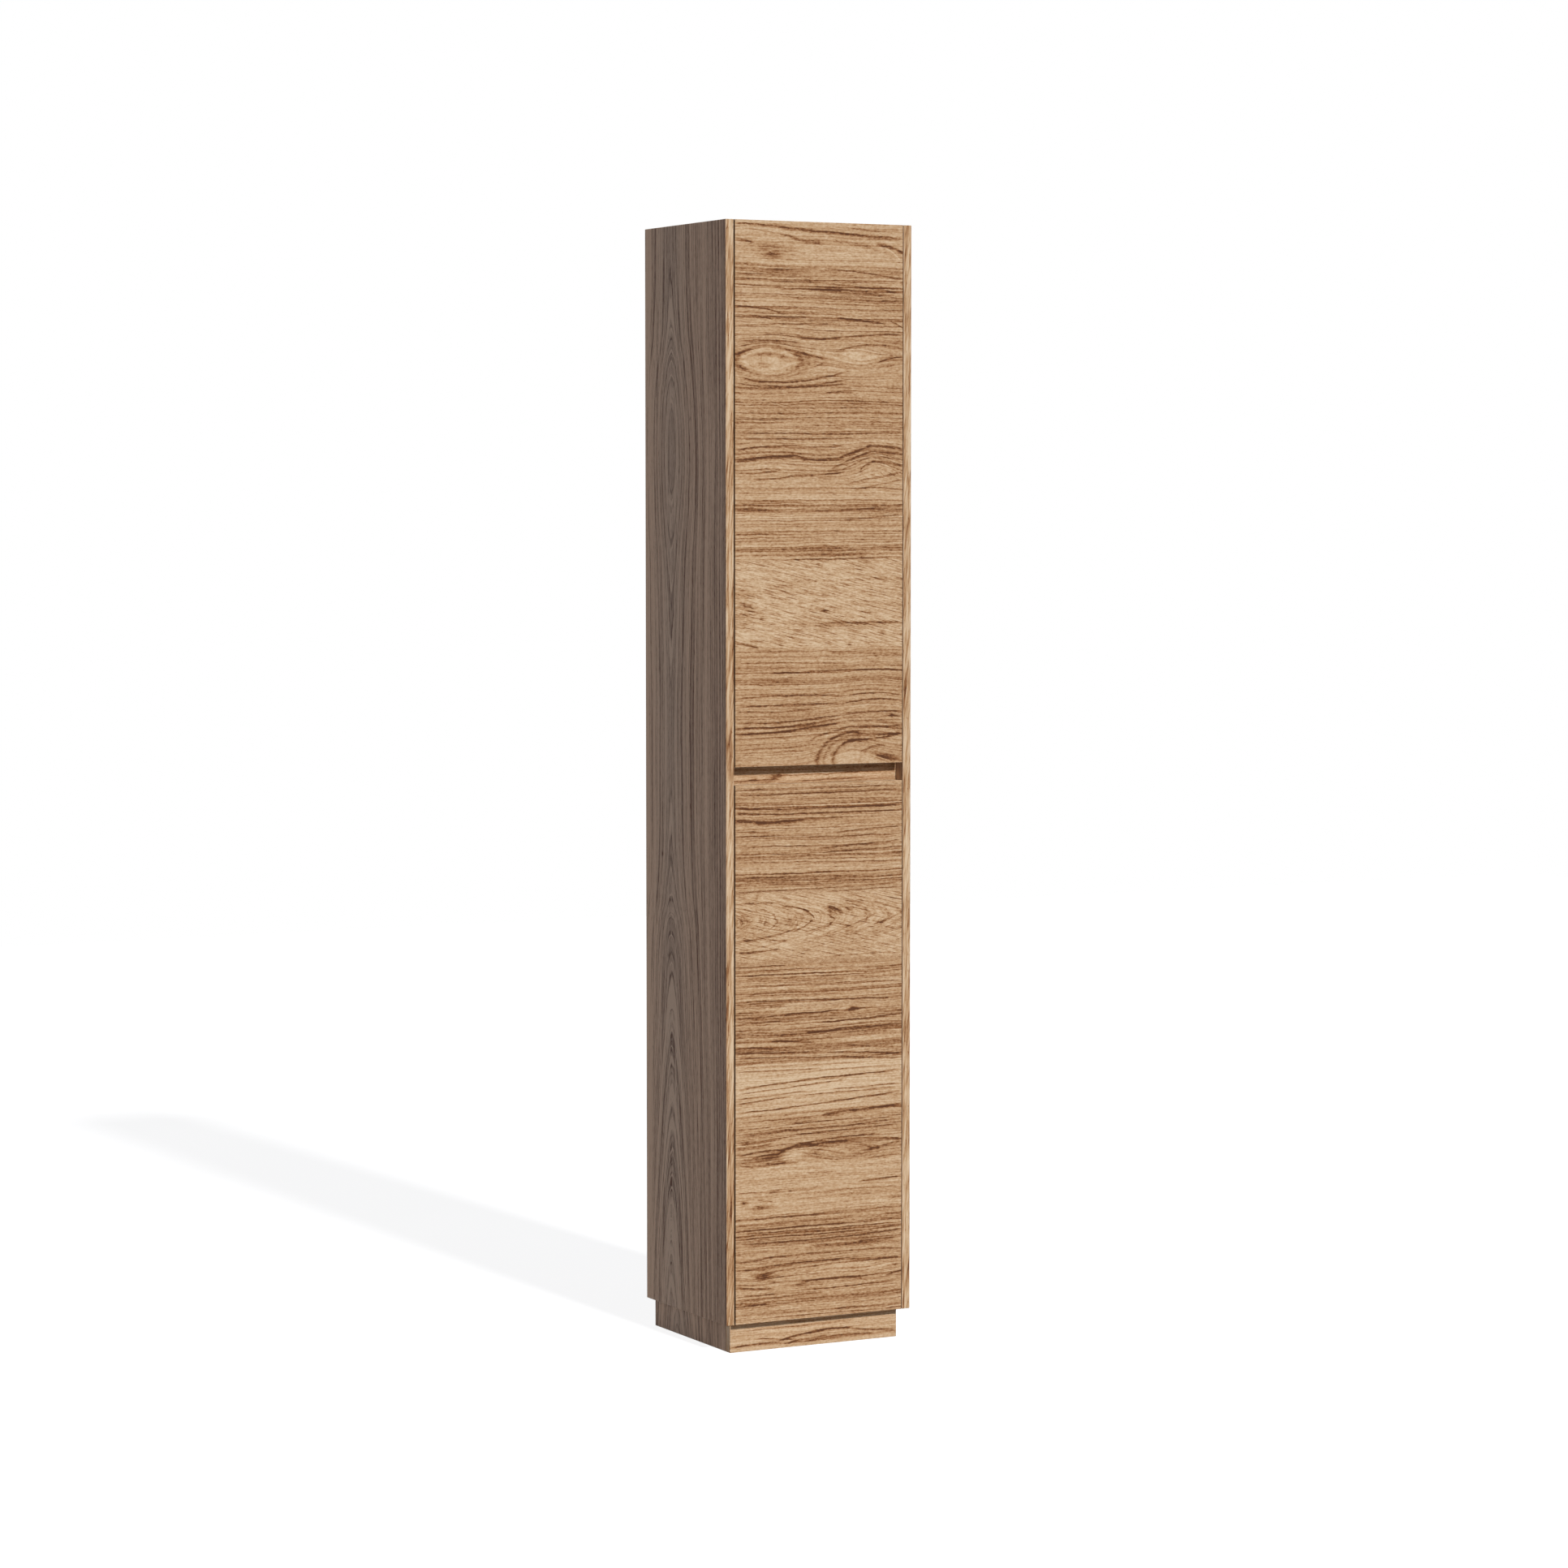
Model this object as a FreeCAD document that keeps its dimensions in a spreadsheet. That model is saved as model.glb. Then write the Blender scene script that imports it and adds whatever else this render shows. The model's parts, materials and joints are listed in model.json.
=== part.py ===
import FreeCAD, Part
import os
import re

import Sketcher

# A tall, narrow two-door cabinet on a plinth. Its doors sit flush between the side panels, with a
# finger gap between them and a recessed rail behind that gap. X runs to the right, Y to the back and
# Z up; the origin is on the floor, under the middle of the cabinet.

# Driving sizes in millimetres and degrees.
SIZES = (
    ("cabinet_width", 350, "across the outer faces of the side panels"),
    ("cabinet_depth", 300, "from the door fronts to the rear edges"),
    ("cabinet_height", 1880, "from the floor to the top"),
    ("board_thick", 15, "thickness of the carcass and plinth boards"),
    ("edge_ease", 0.5, "bevel that takes the sharpness off each board edge"),
    ("plinth_height", 50, "height of the plinth"),
    ("plinth_side_inset", 16, "plinth set back from each side"),
    ("plinth_front_inset", 18, "plinth set back from the door fronts"),
    ("block_width", 30, "width and depth of a plinth corner block"),
    ("block_height", 40, "height of a plinth corner block"),
    ("block_screw_radius", 2, "shank of the plinth screws"),
    ("block_screw_bite", 11, "depth of the plinth screws in the boards"),
    ("block_screw_offset", 8, "side screws off the middle of a corner block"),
    ("block_screw_spacing", 20, "height between the two side screws of a corner block"),
    ("door_thick", 18, "thickness of the doors"),
    ("lower_door_height", 900, "height of the lower door"),
    ("finger_gap", 30, "gap between the two doors"),
    ("hinge_reveal", 2.5, "gap beside the hinged edge of a door"),
    ("free_reveal", 1.2, "gap beside the free edge of a door"),
    ("bumper_gap", 3, "between the doors and the front edges of top and bottom"),
    ("bumper_play", 0.3, "room between a bumper and the closed door"),
    ("bumper_radius", 4, "radius of a door bumper"),
    ("bumper_inset", 22, "outer bumpers from the inner face of the side panel"),
    ("bumper_spread", 180, "distance between the two bumpers of a door"),
    ("rail_setback", 24, "finger rail behind the door fronts"),
    ("finger_rail_height", 70, "height of the finger rail"),
    ("finger_dowel_spacing", 35, "height between the dowels of the finger rail"),
    ("back_rail_height", 80, "height of the two rails behind the back panel"),
    ("back_dowel_spacing", 40, "height between the dowels of a back rail"),
    ("back_thick", 5, "thickness of the back panel"),
    ("groove_depth", 6, "depth of the grooves that hold the back panel"),
    ("groove_play", 0.2, "room around the back panel in its grooves"),
    ("wall_hole_radius", 3, "holes for the screws into the wall"),
    ("wall_hole_spacing", 200, "distance between the wall holes"),
    ("shelf_thick", 15, "thickness of the loose shelves"),
    ("shelf_setback", 22, "loose shelves behind the front edge of the bottom"),
    ("shelf_play", 1, "room beside and behind a loose shelf"),
    ("peg_radius", 2.5, "radius of a shelf pin"),
    ("peg_seat", 9, "depth of a shelf pin in the side panel"),
    ("peg_reach", 8, "shelf pin out of the side panel"),
    ("peg_collar_radius", 4, "radius of the collar on a shelf pin"),
    ("peg_collar_thick", 0.8, "thickness of the collar on a shelf pin"),
    ("peg_inset", 40, "shelf pins from the front and rear edges of a shelf"),
    ("peg_pitch", 32, "distance between the holes of a row"),
    ("fit_play", 0.05, "room around a dowel, pin or screw in its hole"),
    ("cam_radius", 7.5, "radius of the hole for a cam lock"),
    ("cam_height", 12.5, "height of a cam lock"),
    ("cam_distance", 24, "cam lock from the end of its panel"),
    ("bolt_radius", 3, "shank of a cam bolt"),
    ("bolt_head_radius", 3.5, "head of a cam bolt"),
    ("bolt_head_length", 5, "length of the head of a cam bolt"),
    ("bolt_seat", 11, "depth of a cam bolt in the side panel"),
    ("bolt_play", 0.4, "room around a cam bolt in the panel and the cam"),
    ("drive_width", 1.6, "width of the driver slot in a cam lock"),
    ("drive_length", 9, "length of the driver slot in a cam lock"),
    ("drive_depth", 2, "depth of the driver slot in a cam lock"),
    ("dowel_radius", 4, "radius of a wooden dowel"),
    ("dowel_length", 28, "length of a wooden dowel"),
    ("dowel_seat", 10, "depth of a dowel in the side panel"),
    ("dowel_end_play", 0.5, "room past the ends of a dowel"),
    ("joint_inset", 45, "cam locks from the front and rear edges of a panel"),
    ("dowel_offset", 32, "dowels further in than the cam locks"),
    ("pin_inset", 8.2, "hinge pin in from the hinged edge of the door"),
    ("pin_depth", 6.3, "hinge pin behind the door front"),
    ("pin_radius", 1, "radius of a hinge pin"),
    ("eye_radius", 1.9, "radius of the eye of a hinge arm"),
    ("arm_thick", 2, "thickness of a hinge arm"),
    ("arm_width", 12, "width of a hinge arm"),
    ("hook_clear", 0.7, "between the swinging door edge and the hook of an arm"),
    ("cup_radius", 17.5, "radius of the hole for a hinge cup"),
    ("cup_edge", 3.5, "hinge cup from the hinged edge of the door"),
    ("cup_wall", 0.8, "wall of a hinge cup"),
    ("cup_floor_clear", 0.3, "between the eye of an arm and the floor of the cup"),
    ("ear_radius", 2.6, "half the width of the ears that hold a hinge pin"),
    ("ear_gap", 0.6, "between an ear and the hinge arm"),
    ("ear_length", 3.6, "length of an ear along the hinge pin"),
    ("pin_seat", 2.9, "length of a hinge pin in each ear"),
    ("flange_thick", 1.2, "thickness of the flange of a hinge cup"),
    ("flange_width", 20, "width of the flange of a hinge cup"),
    ("flange_height", 62, "height of the flange of a hinge cup"),
    ("cup_screw_spacing", 48, "distance between the screws of a hinge cup"),
    ("cup_screw_offset", 6, "cup screws from the middle of the cup"),
    ("cup_screw_radius", 1.75, "shank of a cup screw"),
    ("cup_screw_bite", 11, "depth of a cup screw in the door"),
    ("plate_thick", 3, "thickness of a hinge plate"),
    ("plate_length", 52, "length of a hinge plate"),
    ("plate_height", 16, "height of the bar of a hinge plate"),
    ("wing_length", 16, "length of the wings of a hinge plate"),
    ("wing_height", 44, "height over the wings of a hinge plate"),
    ("plate_screw_line", 37, "plate screws behind the closed door"),
    ("plate_screw_spacing", 32, "distance between the screws of a hinge plate"),
    ("plate_screw_radius", 2.5, "shank of a plate screw"),
    ("plate_screw_bite", 11, "depth of a plate screw in the side panel"),
    ("arm_screw_radius", 2.4, "shank of the screw that holds an arm on its plate"),
    ("arm_screw_inset", 12, "arm screw from the rear end of the plate"),
    ("screw_head_radius", 3.6, "radius of the heads of the hinge screws"),
    ("screw_head_height", 2, "height of the heads of the hinge screws"),
    ("hinge_inset", 110, "outer hinges from the ends of a door"),
    ("catch_width", 14, "width of a magnetic catch"),
    ("catch_depth", 20, "depth of a magnetic catch"),
    ("catch_height", 46, "height of a magnetic catch"),
    ("catch_inset", 60, "catches from the finger gap"),
    ("catch_screw_spacing", 36, "distance between the screws of a catch"),
    ("catch_screw_radius", 1.6, "shank of the catch and strike screws"),
    ("catch_screw_bite", 10, "depth of the catch and strike screws in the wood"),
    ("magnet_width", 8, "width of the magnet in a catch"),
    ("magnet_depth", 12, "depth of the magnet in a catch"),
    ("magnet_height", 26, "height of the magnet in a catch"),
    ("strike_thick", 1.2, "thickness of a strike plate"),
    ("strike_width", 11, "width of a strike plate"),
    ("strike_height", 38, "height of a strike plate"),
    ("strike_gap", 0.3, "between a strike plate and its catch"),
    ("strike_screw_spacing", 24, "distance between the screws of a strike plate"),
)

# How many of each repeat.
HINGES_PER_DOOR = 3
SHELVES_PER_DOOR = 2
PEG_HOLES_EACH_WAY = 2

# Places worked out from the driving sizes.
PLACES = {
    "front": "-cabinet_depth / 2",
    "rear": "cabinet_depth / 2",
    "left": "-cabinet_width / 2",
    "inner_left": "-cabinet_width / 2 + board_thick",
    "inner_right": "cabinet_width / 2 - board_thick",
    "inner_width": "cabinet_width - 2 * board_thick",
    "door_back": "front + door_thick",
    "carcass_front": "door_back + bumper_gap",
    "rail_front": "front + rail_setback",
    "rail_back": "rail_front + board_thick",
    "back_rail_front": "rear - board_thick",
    "back_face": "back_rail_front - groove_play - back_thick",
    "floor_top": "plinth_height + board_thick",
    "top_under": "cabinet_height - board_thick",
    "upper_rail_middle": "top_under - back_rail_height / 2",
    "lower_rail_middle": "floor_top + back_rail_height / 2",
    "gap_bottom": "plinth_height + lower_door_height",
    "gap_top": "gap_bottom + finger_gap",
    "gap_middle": "gap_bottom + finger_gap / 2",
    "fixed_under": "gap_middle - board_thick / 2",
    "fixed_top": "gap_middle + board_thick / 2",
    "door_left": "inner_left + hinge_reveal",
    "door_width": "inner_width - hinge_reveal - free_reveal",
    "upper_door_height": "cabinet_height - gap_top",
    "shelf_front": "carcass_front + shelf_setback",
    "shelf_depth": "back_face - shelf_play - shelf_front",
    "peg_front": "shelf_front + peg_inset",
    "peg_rear": "back_face - shelf_play - peg_inset",
    "plinth_left_face": "left + plinth_side_inset",
    "plinth_width": "cabinet_width - 2 * plinth_side_inset",
    "plinth_front_face": "front + plinth_front_inset",
    "block_under": "plinth_height - block_height",
    "pin_x": "door_left + pin_inset",
    "pin_y": "front + pin_depth",
    "hook_inner": "sqrt(pin_inset ^ 2 + (door_thick - pin_depth) ^ 2) + hook_clear",
    "hook_outer": "hook_inner + arm_thick",
    "strap_left": "plate_thick - pin_inset - hinge_reveal",
    "strap_right": "strap_left + arm_thick",
    "strap_start": "sqrt((hook_inner + arm_thick / 2) ^ 2 - strap_right ^ 2)",
    "plate_front": "pin_y + hook_inner",
    "plate_rear": "plate_front + plate_length",
    "arm_screw_y": "plate_rear - arm_screw_inset",
    "plate_screw_y": "door_back + plate_screw_line",
    "cup_x": "door_left + cup_edge + cup_radius",
    "cup_cavity_floor": "pin_y - eye_radius - cup_floor_clear",
    "cup_bottom": "cup_cavity_floor - cup_wall",
    "cup_screw_x": "cup_x + cup_screw_offset",
    "strike_middle": "inner_right - catch_width / 2 - free_reveal",
    "catch_front": "door_back + strike_thick + strike_gap",
    "catch_middle": "inner_right - catch_width / 2",
}

# Turns that point a cylinder's length along an axis, and the way back from each.
X_AXIS = FreeCAD.Vector(1, 0, 0)
Y_AXIS = FreeCAD.Vector(0, 1, 0)
TURNS = {
    "right": FreeCAD.Rotation(Y_AXIS, 90),
    "left": FreeCAD.Rotation(Y_AXIS, -90),
    "back": FreeCAD.Rotation(X_AXIS, -90),
    "front": FreeCAD.Rotation(X_AXIS, 90),
    "up": FreeCAD.Rotation(),
    "down": FreeCAD.Rotation(X_AXIS, 180),
}
OPPOSITE = {"right": "left", "left": "right", "back": "front", "front": "back", "up": "down", "down": "up"}

doc = FreeCAD.newDocument("tall_cabinet")
sizes = doc.addObject("Spreadsheet::Sheet", "sizes")
for row, (alias, value, meaning) in enumerate(SIZES, start=1):
    sizes.set("A%d" % row, str(value))
    sizes.setAlias("A%d" % row, alias)
    sizes.set("B%d" % row, meaning)
doc.recompute()

SIZE_NAMES = {alias for alias, value, meaning in SIZES}
nodes = []


def formula(text):
    """Write the names of sizes and places in a formula out as cells of the sheet."""
    def cell(match):
        word = match.group(0)
        if word in SIZE_NAMES:
            return "sizes." + word
        if word in PLACES:
            return "(" + formula(PLACES[word]) + ")"
        return word
    return re.sub(r"[a-z_]+", cell, text)


def bind(thing, prop, text):
    thing.setExpression(prop, formula(text))


def place(thing, corner):
    for axis, text in zip("xyz", corner):
        bind(thing, "Placement.Base." + axis, text)


def node(thing, label):
    """Make a finished object one of the cabinet's sub-parts."""
    thing.Label = label
    nodes.append(thing)
    return thing


def box(name, corner, size):
    thing = doc.addObject("Part::Box", name)
    for prop, text in zip(("Length", "Width", "Height"), size):
        bind(thing, prop, text)
    place(thing, corner)
    return thing


def cylinder(name, base, way, radius, length):
    thing = doc.addObject("Part::Cylinder", name)
    thing.Placement = FreeCAD.Placement(FreeCAD.Vector(), TURNS[way])
    bind(thing, "Radius", radius)
    bind(thing, "Height", length)
    place(thing, base)
    return thing


def compound(name, things):
    thing = doc.addObject("Part::Compound", name)
    thing.Links = things
    return thing


def fuse(name, things):
    thing = doc.addObject("Part::MultiFuse", name)
    thing.Shapes = things
    return thing


def cut(name, base, tools):
    thing = doc.addObject("Part::Cut", name)
    thing.Base = base
    thing.Tool = compound(name + "_tools", tools)
    return thing


def board(name, corner, size):
    """A board padded from its outline, with every edge eased."""
    body = doc.addObject("PartDesign::Body", name)
    sketch = body.newObject("Sketcher::SketchObject", name + "_outline")
    plane = next(item for item in body.Origin.OriginFeatures if item.Role == "XY_Plane")
    sketch.AttachmentSupport = [(plane, "")]
    sketch.MapMode = "FlatFace"
    corners = [FreeCAD.Vector(x, y, 0) for x, y in ((0, 0), (1, 0), (1, 1), (0, 1))]
    for side in range(4):
        sketch.addGeometry(Part.LineSegment(corners[side], corners[(side + 1) % 4]))
    for side in range(4):
        sketch.addConstraint(Sketcher.Constraint("Coincident", side, 2, (side + 1) % 4, 1))
    for side, kind in enumerate(("Horizontal", "Vertical", "Horizontal", "Vertical")):
        sketch.addConstraint(Sketcher.Constraint(kind, side))
    sketch.addConstraint(Sketcher.Constraint("Coincident", 0, 1, -1, 1))
    across = sketch.addConstraint(Sketcher.Constraint("DistanceX", 0, 1, 0, 2, 1))
    along = sketch.addConstraint(Sketcher.Constraint("DistanceY", 1, 1, 1, 2, 1))
    bind(sketch, "Constraints[%d]" % across, size[0])
    bind(sketch, "Constraints[%d]" % along, size[1])
    pad = body.newObject("PartDesign::Pad", name + "_pad")
    pad.Profile = sketch
    bind(pad, "Length", size[2])
    doc.recompute()
    ease = body.newObject("PartDesign::Chamfer", name + "_ease")
    ease.Base = (pad, ["Edge%d" % (index + 1) for index in range(len(pad.Shape.Edges))])
    bind(ease, "Size", "edge_ease")
    body.Tip = ease
    place(body, corner)
    return body


def screw(name, seat, way, radius, length):
    """A screw whose head sits on a surface and whose shank goes into it along way."""
    head = cylinder(name + "_head", seat, OPPOSITE[way], "screw_head_radius", "screw_head_height")
    shank = cylinder(name + "_shank", seat, way, radius, length)
    return fuse(name, [head, shank])


def hole(name, base, way, radius, length):
    """A drilled hole with room around what goes into it."""
    return cylinder(name, base, way, radius + " + fit_play", length)


# What is cut from each board, and the small pieces that are gathered into groups.
cuts = {name: [] for name in (
    "side_panel_left", "side_panel_right", "top_panel", "bottom_panel", "fixed_shelf", "finger_rail",
    "back_panel", "upper_back_rail", "lower_back_rail", "plinth_front", "plinth_left", "plinth_right",
    "plinth_back", "upper_door_panel", "lower_door_panel")}
groups = {}


def gather(group, thing):
    groups.setdefault(group, []).append(thing)


# The lower and the upper of a pair.
ENDS = (("low", "-"), ("high", "+"))

# Each side of the cabinet: the panel, its inner face, and the ways into the panel and away from it.
SIDES = (
    ("side_panel_left", "inner_left", "left", "right", 1),
    ("side_panel_right", "inner_right", "right", "left", -1),
)


def dowel_joint(name, panel, y, z):
    """A dowel at each end of a panel, half in the side panel."""
    for side, face, into, out, sign in SIDES:
        start = "%s - %d * dowel_seat" % (face, sign)
        tag = "%s_%s" % (name, into)
        gather("dowels", cylinder(tag + "_dowel", (start, y, z), out, "dowel_radius", "dowel_length"))
        cuts[side].append(hole(tag + "_side_hole", (face, y, z), into, "dowel_radius", "dowel_seat"))
        cuts[panel].append(hole(tag + "_end_hole", (face, y, z), out, "dowel_radius",
                                "dowel_length - dowel_seat + dowel_end_play"))


def cam_joint(name, panel, y, under):
    """A cam lock in the underside of a panel at each end, and the bolt that it draws in."""
    middle = "%s + board_thick / 2" % under
    for side, face, into, out, sign in SIDES:
        tag = "%s_%s" % (name, into)
        cam_x = "%s + %d * cam_distance" % (face, sign)
        start = "%s - %d * bolt_seat" % (face, sign)
        head_start = "%s - %d * bolt_head_length / 2" % (cam_x, sign)
        shank = cylinder(tag + "_shank", (start, y, middle), out, "bolt_radius", "bolt_seat + cam_distance")
        head = cylinder(tag + "_head", (head_start, y, middle), out, "bolt_head_radius", "bolt_head_length")
        gather("cam_bolts", fuse(tag + "_bolt", [shank, head]))
        drum = cylinder(tag + "_drum", (cam_x, y, under), "up", "cam_radius - fit_play", "cam_height")
        way_in = cylinder(tag + "_way_in", (face, y, middle), out, "bolt_head_radius + bolt_play",
                          "cam_distance + bolt_head_length / 2 + bolt_play")
        slot = box(tag + "_slot", (cam_x + " - drive_length / 2", y + " - drive_width / 2", under),
                   ("drive_length", "drive_width", "drive_depth"))
        gather("cam_locks", cut(tag + "_cam", drum, [way_in, slot]))
        cuts[side].append(hole(tag + "_side_hole", (face, y, middle), into, "bolt_radius", "bolt_seat"))
        cuts[panel].append(cylinder(tag + "_end_hole", (face, y, middle), out, "bolt_radius + bolt_play",
                                    "cam_distance"))
        cuts[panel].append(cylinder(tag + "_cam_hole", (cam_x, y, under), "up", "cam_radius", "cam_height"))


def joinery():
    """Cam locks and dowels that hold the cross boards between the side panels."""
    for panel, under, first, last in (
            ("top_panel", "top_under", "carcass_front", "rear"),
            ("bottom_panel", "plinth_height", "carcass_front", "rear"),
            ("fixed_shelf", "fixed_under", "rail_back", "back_face")):
        for end, edge, sign in (("front", first, "+"), ("rear", last, "-")):
            y = "%s %s joint_inset" % (edge, sign)
            cam_joint("%s_%s" % (panel, end), panel, y, under)
            dowel_joint("%s_%s" % (panel, end), panel, "%s %s dowel_offset" % (y, sign),
                        under + " + board_thick / 2")
    for rail, face, middle, spacing in (
            ("finger_rail", "rail_front", "gap_middle", "finger_dowel_spacing"),
            ("upper_back_rail", "back_rail_front", "upper_rail_middle", "back_dowel_spacing"),
            ("lower_back_rail", "back_rail_front", "lower_rail_middle", "back_dowel_spacing")):
        y = face + " + board_thick / 2"
        for end, sign in ENDS:
            dowel_joint("%s_%s" % (rail, end), rail, y, "%s %s %s / 2" % (middle, sign, spacing))


def back_grooves():
    """Grooves in the sides, top and bottom for the back panel, and the holes for the wall screws."""
    low = "floor_top - groove_depth"
    height = "top_under - floor_top + 2 * groove_depth"
    groove_y = "back_face - groove_play"
    width = "back_thick + 2 * groove_play"
    cuts["side_panel_left"].append(box("groove_left", ("inner_left - groove_depth", groove_y, low),
                                       ("groove_depth", width, height)))
    cuts["side_panel_right"].append(box("groove_right", ("inner_right", groove_y, low),
                                        ("groove_depth", width, height)))
    cuts["top_panel"].append(box("groove_top", ("inner_left", groove_y, "top_under"),
                                 ("inner_width", width, "groove_depth")))
    cuts["bottom_panel"].append(box("groove_bottom", ("inner_left", groove_y, low),
                                    ("inner_width", width, "groove_depth")))
    for side, sign in (("left", "-"), ("right", "+")):
        start = ("%s wall_hole_spacing / 2" % sign, "back_face", "upper_rail_middle")
        length = "rear - back_face"
        for panel in ("back_panel", "upper_back_rail"):
            name = "wall_hole_%s_%s" % (side, panel)
            cuts[panel].append(cylinder(name, start, "back", "wall_hole_radius", length))


def shelf_under(door, number):
    """Underside of a loose shelf, which share a compartment's height evenly."""
    low, high = {"upper": ("fixed_top", "top_under"), "lower": ("floor_top", "fixed_under")}[door]
    share = "(%s - %s + shelf_thick) / %d" % (high, low, SHELVES_PER_DOOR + 1)
    return "%s + %d * %s - shelf_thick" % (low, number, share)


def loose_shelves(door):
    """The loose shelves of one compartment, their pins and the rows of holes for them."""
    for number in range(1, SHELVES_PER_DOOR + 1):
        under = shelf_under(door, number)
        shelf = board("%s_shelf_%d" % (door, number), ("inner_left + shelf_play", "shelf_front", under),
                      ("inner_width - 2 * shelf_play", "shelf_depth", "shelf_thick"))
        node(shelf, "%s_shelf_%d" % (door, number))
        for side, face, into, out, sign in SIDES:
            for row, y in (("front", "peg_front"), ("rear", "peg_rear")):
                tag = "%s_peg_%d_%s_%s" % (door, number, into, row)
                z = under + " - peg_radius"
                start = "%s - %d * peg_seat" % (face, sign)
                peg = cylinder(tag + "_stem", (start, y, z), out, "peg_radius", "peg_seat + peg_reach")
                collar = cylinder(tag + "_collar", (face, y, z), out, "peg_collar_radius", "peg_collar_thick")
                gather(door + "_shelf_pins", fuse(tag, [peg, collar]))
                for step in range(-PEG_HOLES_EACH_WAY, PEG_HOLES_EACH_WAY + 1):
                    at = "%s + %d * peg_pitch" % (z, step)
                    name = "%s_hole_%d" % (tag, step + PEG_HOLES_EACH_WAY)
                    cuts[side].append(hole(name, (face, y, at), into, "peg_radius", "peg_seat"))


def hinge(door, number, z):
    """One concealed hinge: a cup and its pin in the door, and a hooked arm on a plate in the cabinet."""
    tag = "%s_hinge_%d" % (door, number)
    panel = door + "_door_panel"
    low = "%s - arm_width / 2" % z

    # The cup is bored into the back of the door, with a flange on its face and ears for the pin.
    shell = cylinder(tag + "_shell", ("cup_x", "cup_bottom", z), "back", "cup_radius - fit_play",
                     "door_back - cup_bottom")
    flange = box(tag + "_flange", ("cup_x - flange_width / 2 + cup_screw_offset / 2", "door_back",
                                   "%s - flange_height / 2" % z),
                 ("flange_width", "flange_thick", "flange_height"))
    cavity = cylinder(tag + "_cavity", ("cup_x", "cup_cavity_floor", z), "back", "cup_radius - cup_wall",
                      "door_back + flange_thick - cup_cavity_floor")
    dish = cut(tag + "_dish", fuse(tag + "_pressing", [shell, flange]), [cavity])
    ears = []
    for end, start in (("low", "%s - arm_width / 2 - ear_gap - ear_length" % z),
                       ("high", "%s + arm_width / 2 + ear_gap" % z)):
        ears.append(box("%s_ear_%s" % (tag, end), ("pin_x - ear_radius", "cup_cavity_floor", start),
                        ("2 * ear_radius", "pin_y + ear_radius - cup_cavity_floor", "ear_length")))
    bounded = doc.addObject("Part::Common", tag + "_ears")
    bounded.Base = compound(tag + "_ear_pair", ears)
    bounded.Tool = cylinder(tag + "_ear_bound", ("cup_x", "cup_cavity_floor", z), "back",
                            "cup_radius - fit_play", "door_back - cup_cavity_floor")
    pin_length = "arm_width + 2 * ear_gap + 2 * pin_seat"
    pin_base = ("pin_x", "pin_y", "%s - (%s) / 2" % (z, pin_length))
    cup_holes = [hole(tag + "_ear_hole", pin_base, "up", "pin_radius", pin_length)]
    for end, sign in ENDS:
        at = "%s %s cup_screw_spacing / 2" % (z, sign)
        name = "%s_cup_screw_%s" % (tag, end)
        gather(door + "_cup_screws", screw(name, ("cup_screw_x", "door_back + flange_thick", at), "front",
                                           "cup_screw_radius", "cup_screw_bite + flange_thick"))
        cup_holes.append(hole(name + "_way", ("cup_screw_x", "door_back + flange_thick", at), "front",
                              "cup_screw_radius", "flange_thick"))
        cuts[panel].append(hole(name + "_hole", ("cup_screw_x", "door_back", at), "front", "cup_screw_radius",
                                "cup_screw_bite"))
    gather(door + "_hinge_cups", cut(tag + "_cup", fuse(tag + "_casting", [dish, bounded]), cup_holes))
    gather(door + "_hinge_pins", cylinder(tag + "_pin", pin_base, "up", "pin_radius", pin_length))
    cuts[panel].append(cylinder(tag + "_cup_hole", ("cup_x", "door_back", z), "front", "cup_radius",
                                "door_back - cup_bottom"))

    # The arm runs from its eye on the pin across the cup, hooks round the door's edge and lies on the plate.
    eye = cylinder(tag + "_eye", ("pin_x", "pin_y", low), "up", "eye_radius", "arm_width")
    web = box(tag + "_web", ("pin_x", "pin_y - arm_thick / 2", low), ("hook_outer", "arm_thick", "arm_width"))
    outer = cylinder(tag + "_hook_outer", ("pin_x", "pin_y", low), "up", "hook_outer", "arm_width")
    bind(outer, "Angle", "acos(strap_left / hook_outer)")
    inner = cylinder(tag + "_hook_inner", ("pin_x", "pin_y", low), "up", "hook_inner", "arm_width")
    hook = cut(tag + "_hook", outer, [inner])
    strap = box(tag + "_strap", ("pin_x + strap_left", "pin_y + strap_start", low),
                ("arm_thick", "plate_rear - pin_y - strap_start", "arm_width"))
    arm_screw_face = "inner_left + plate_thick + arm_thick"
    arm_seat = (arm_screw_face, "arm_screw_y", z)
    arm_holes = [
        hole(tag + "_eye_hole", ("pin_x", "pin_y", low), "up", "pin_radius", "arm_width"),
        hole(tag + "_strap_hole", arm_seat, "left", "arm_screw_radius", "arm_thick"),
    ]
    gather(door + "_hinge_arms", cut(tag + "_arm", fuse(tag + "_strip", [eye, web, hook, strap]), arm_holes))
    gather(door + "_arm_screws", screw(tag + "_arm_screw", arm_seat, "left", "arm_screw_radius",
                                       "arm_thick + plate_thick"))

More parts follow.
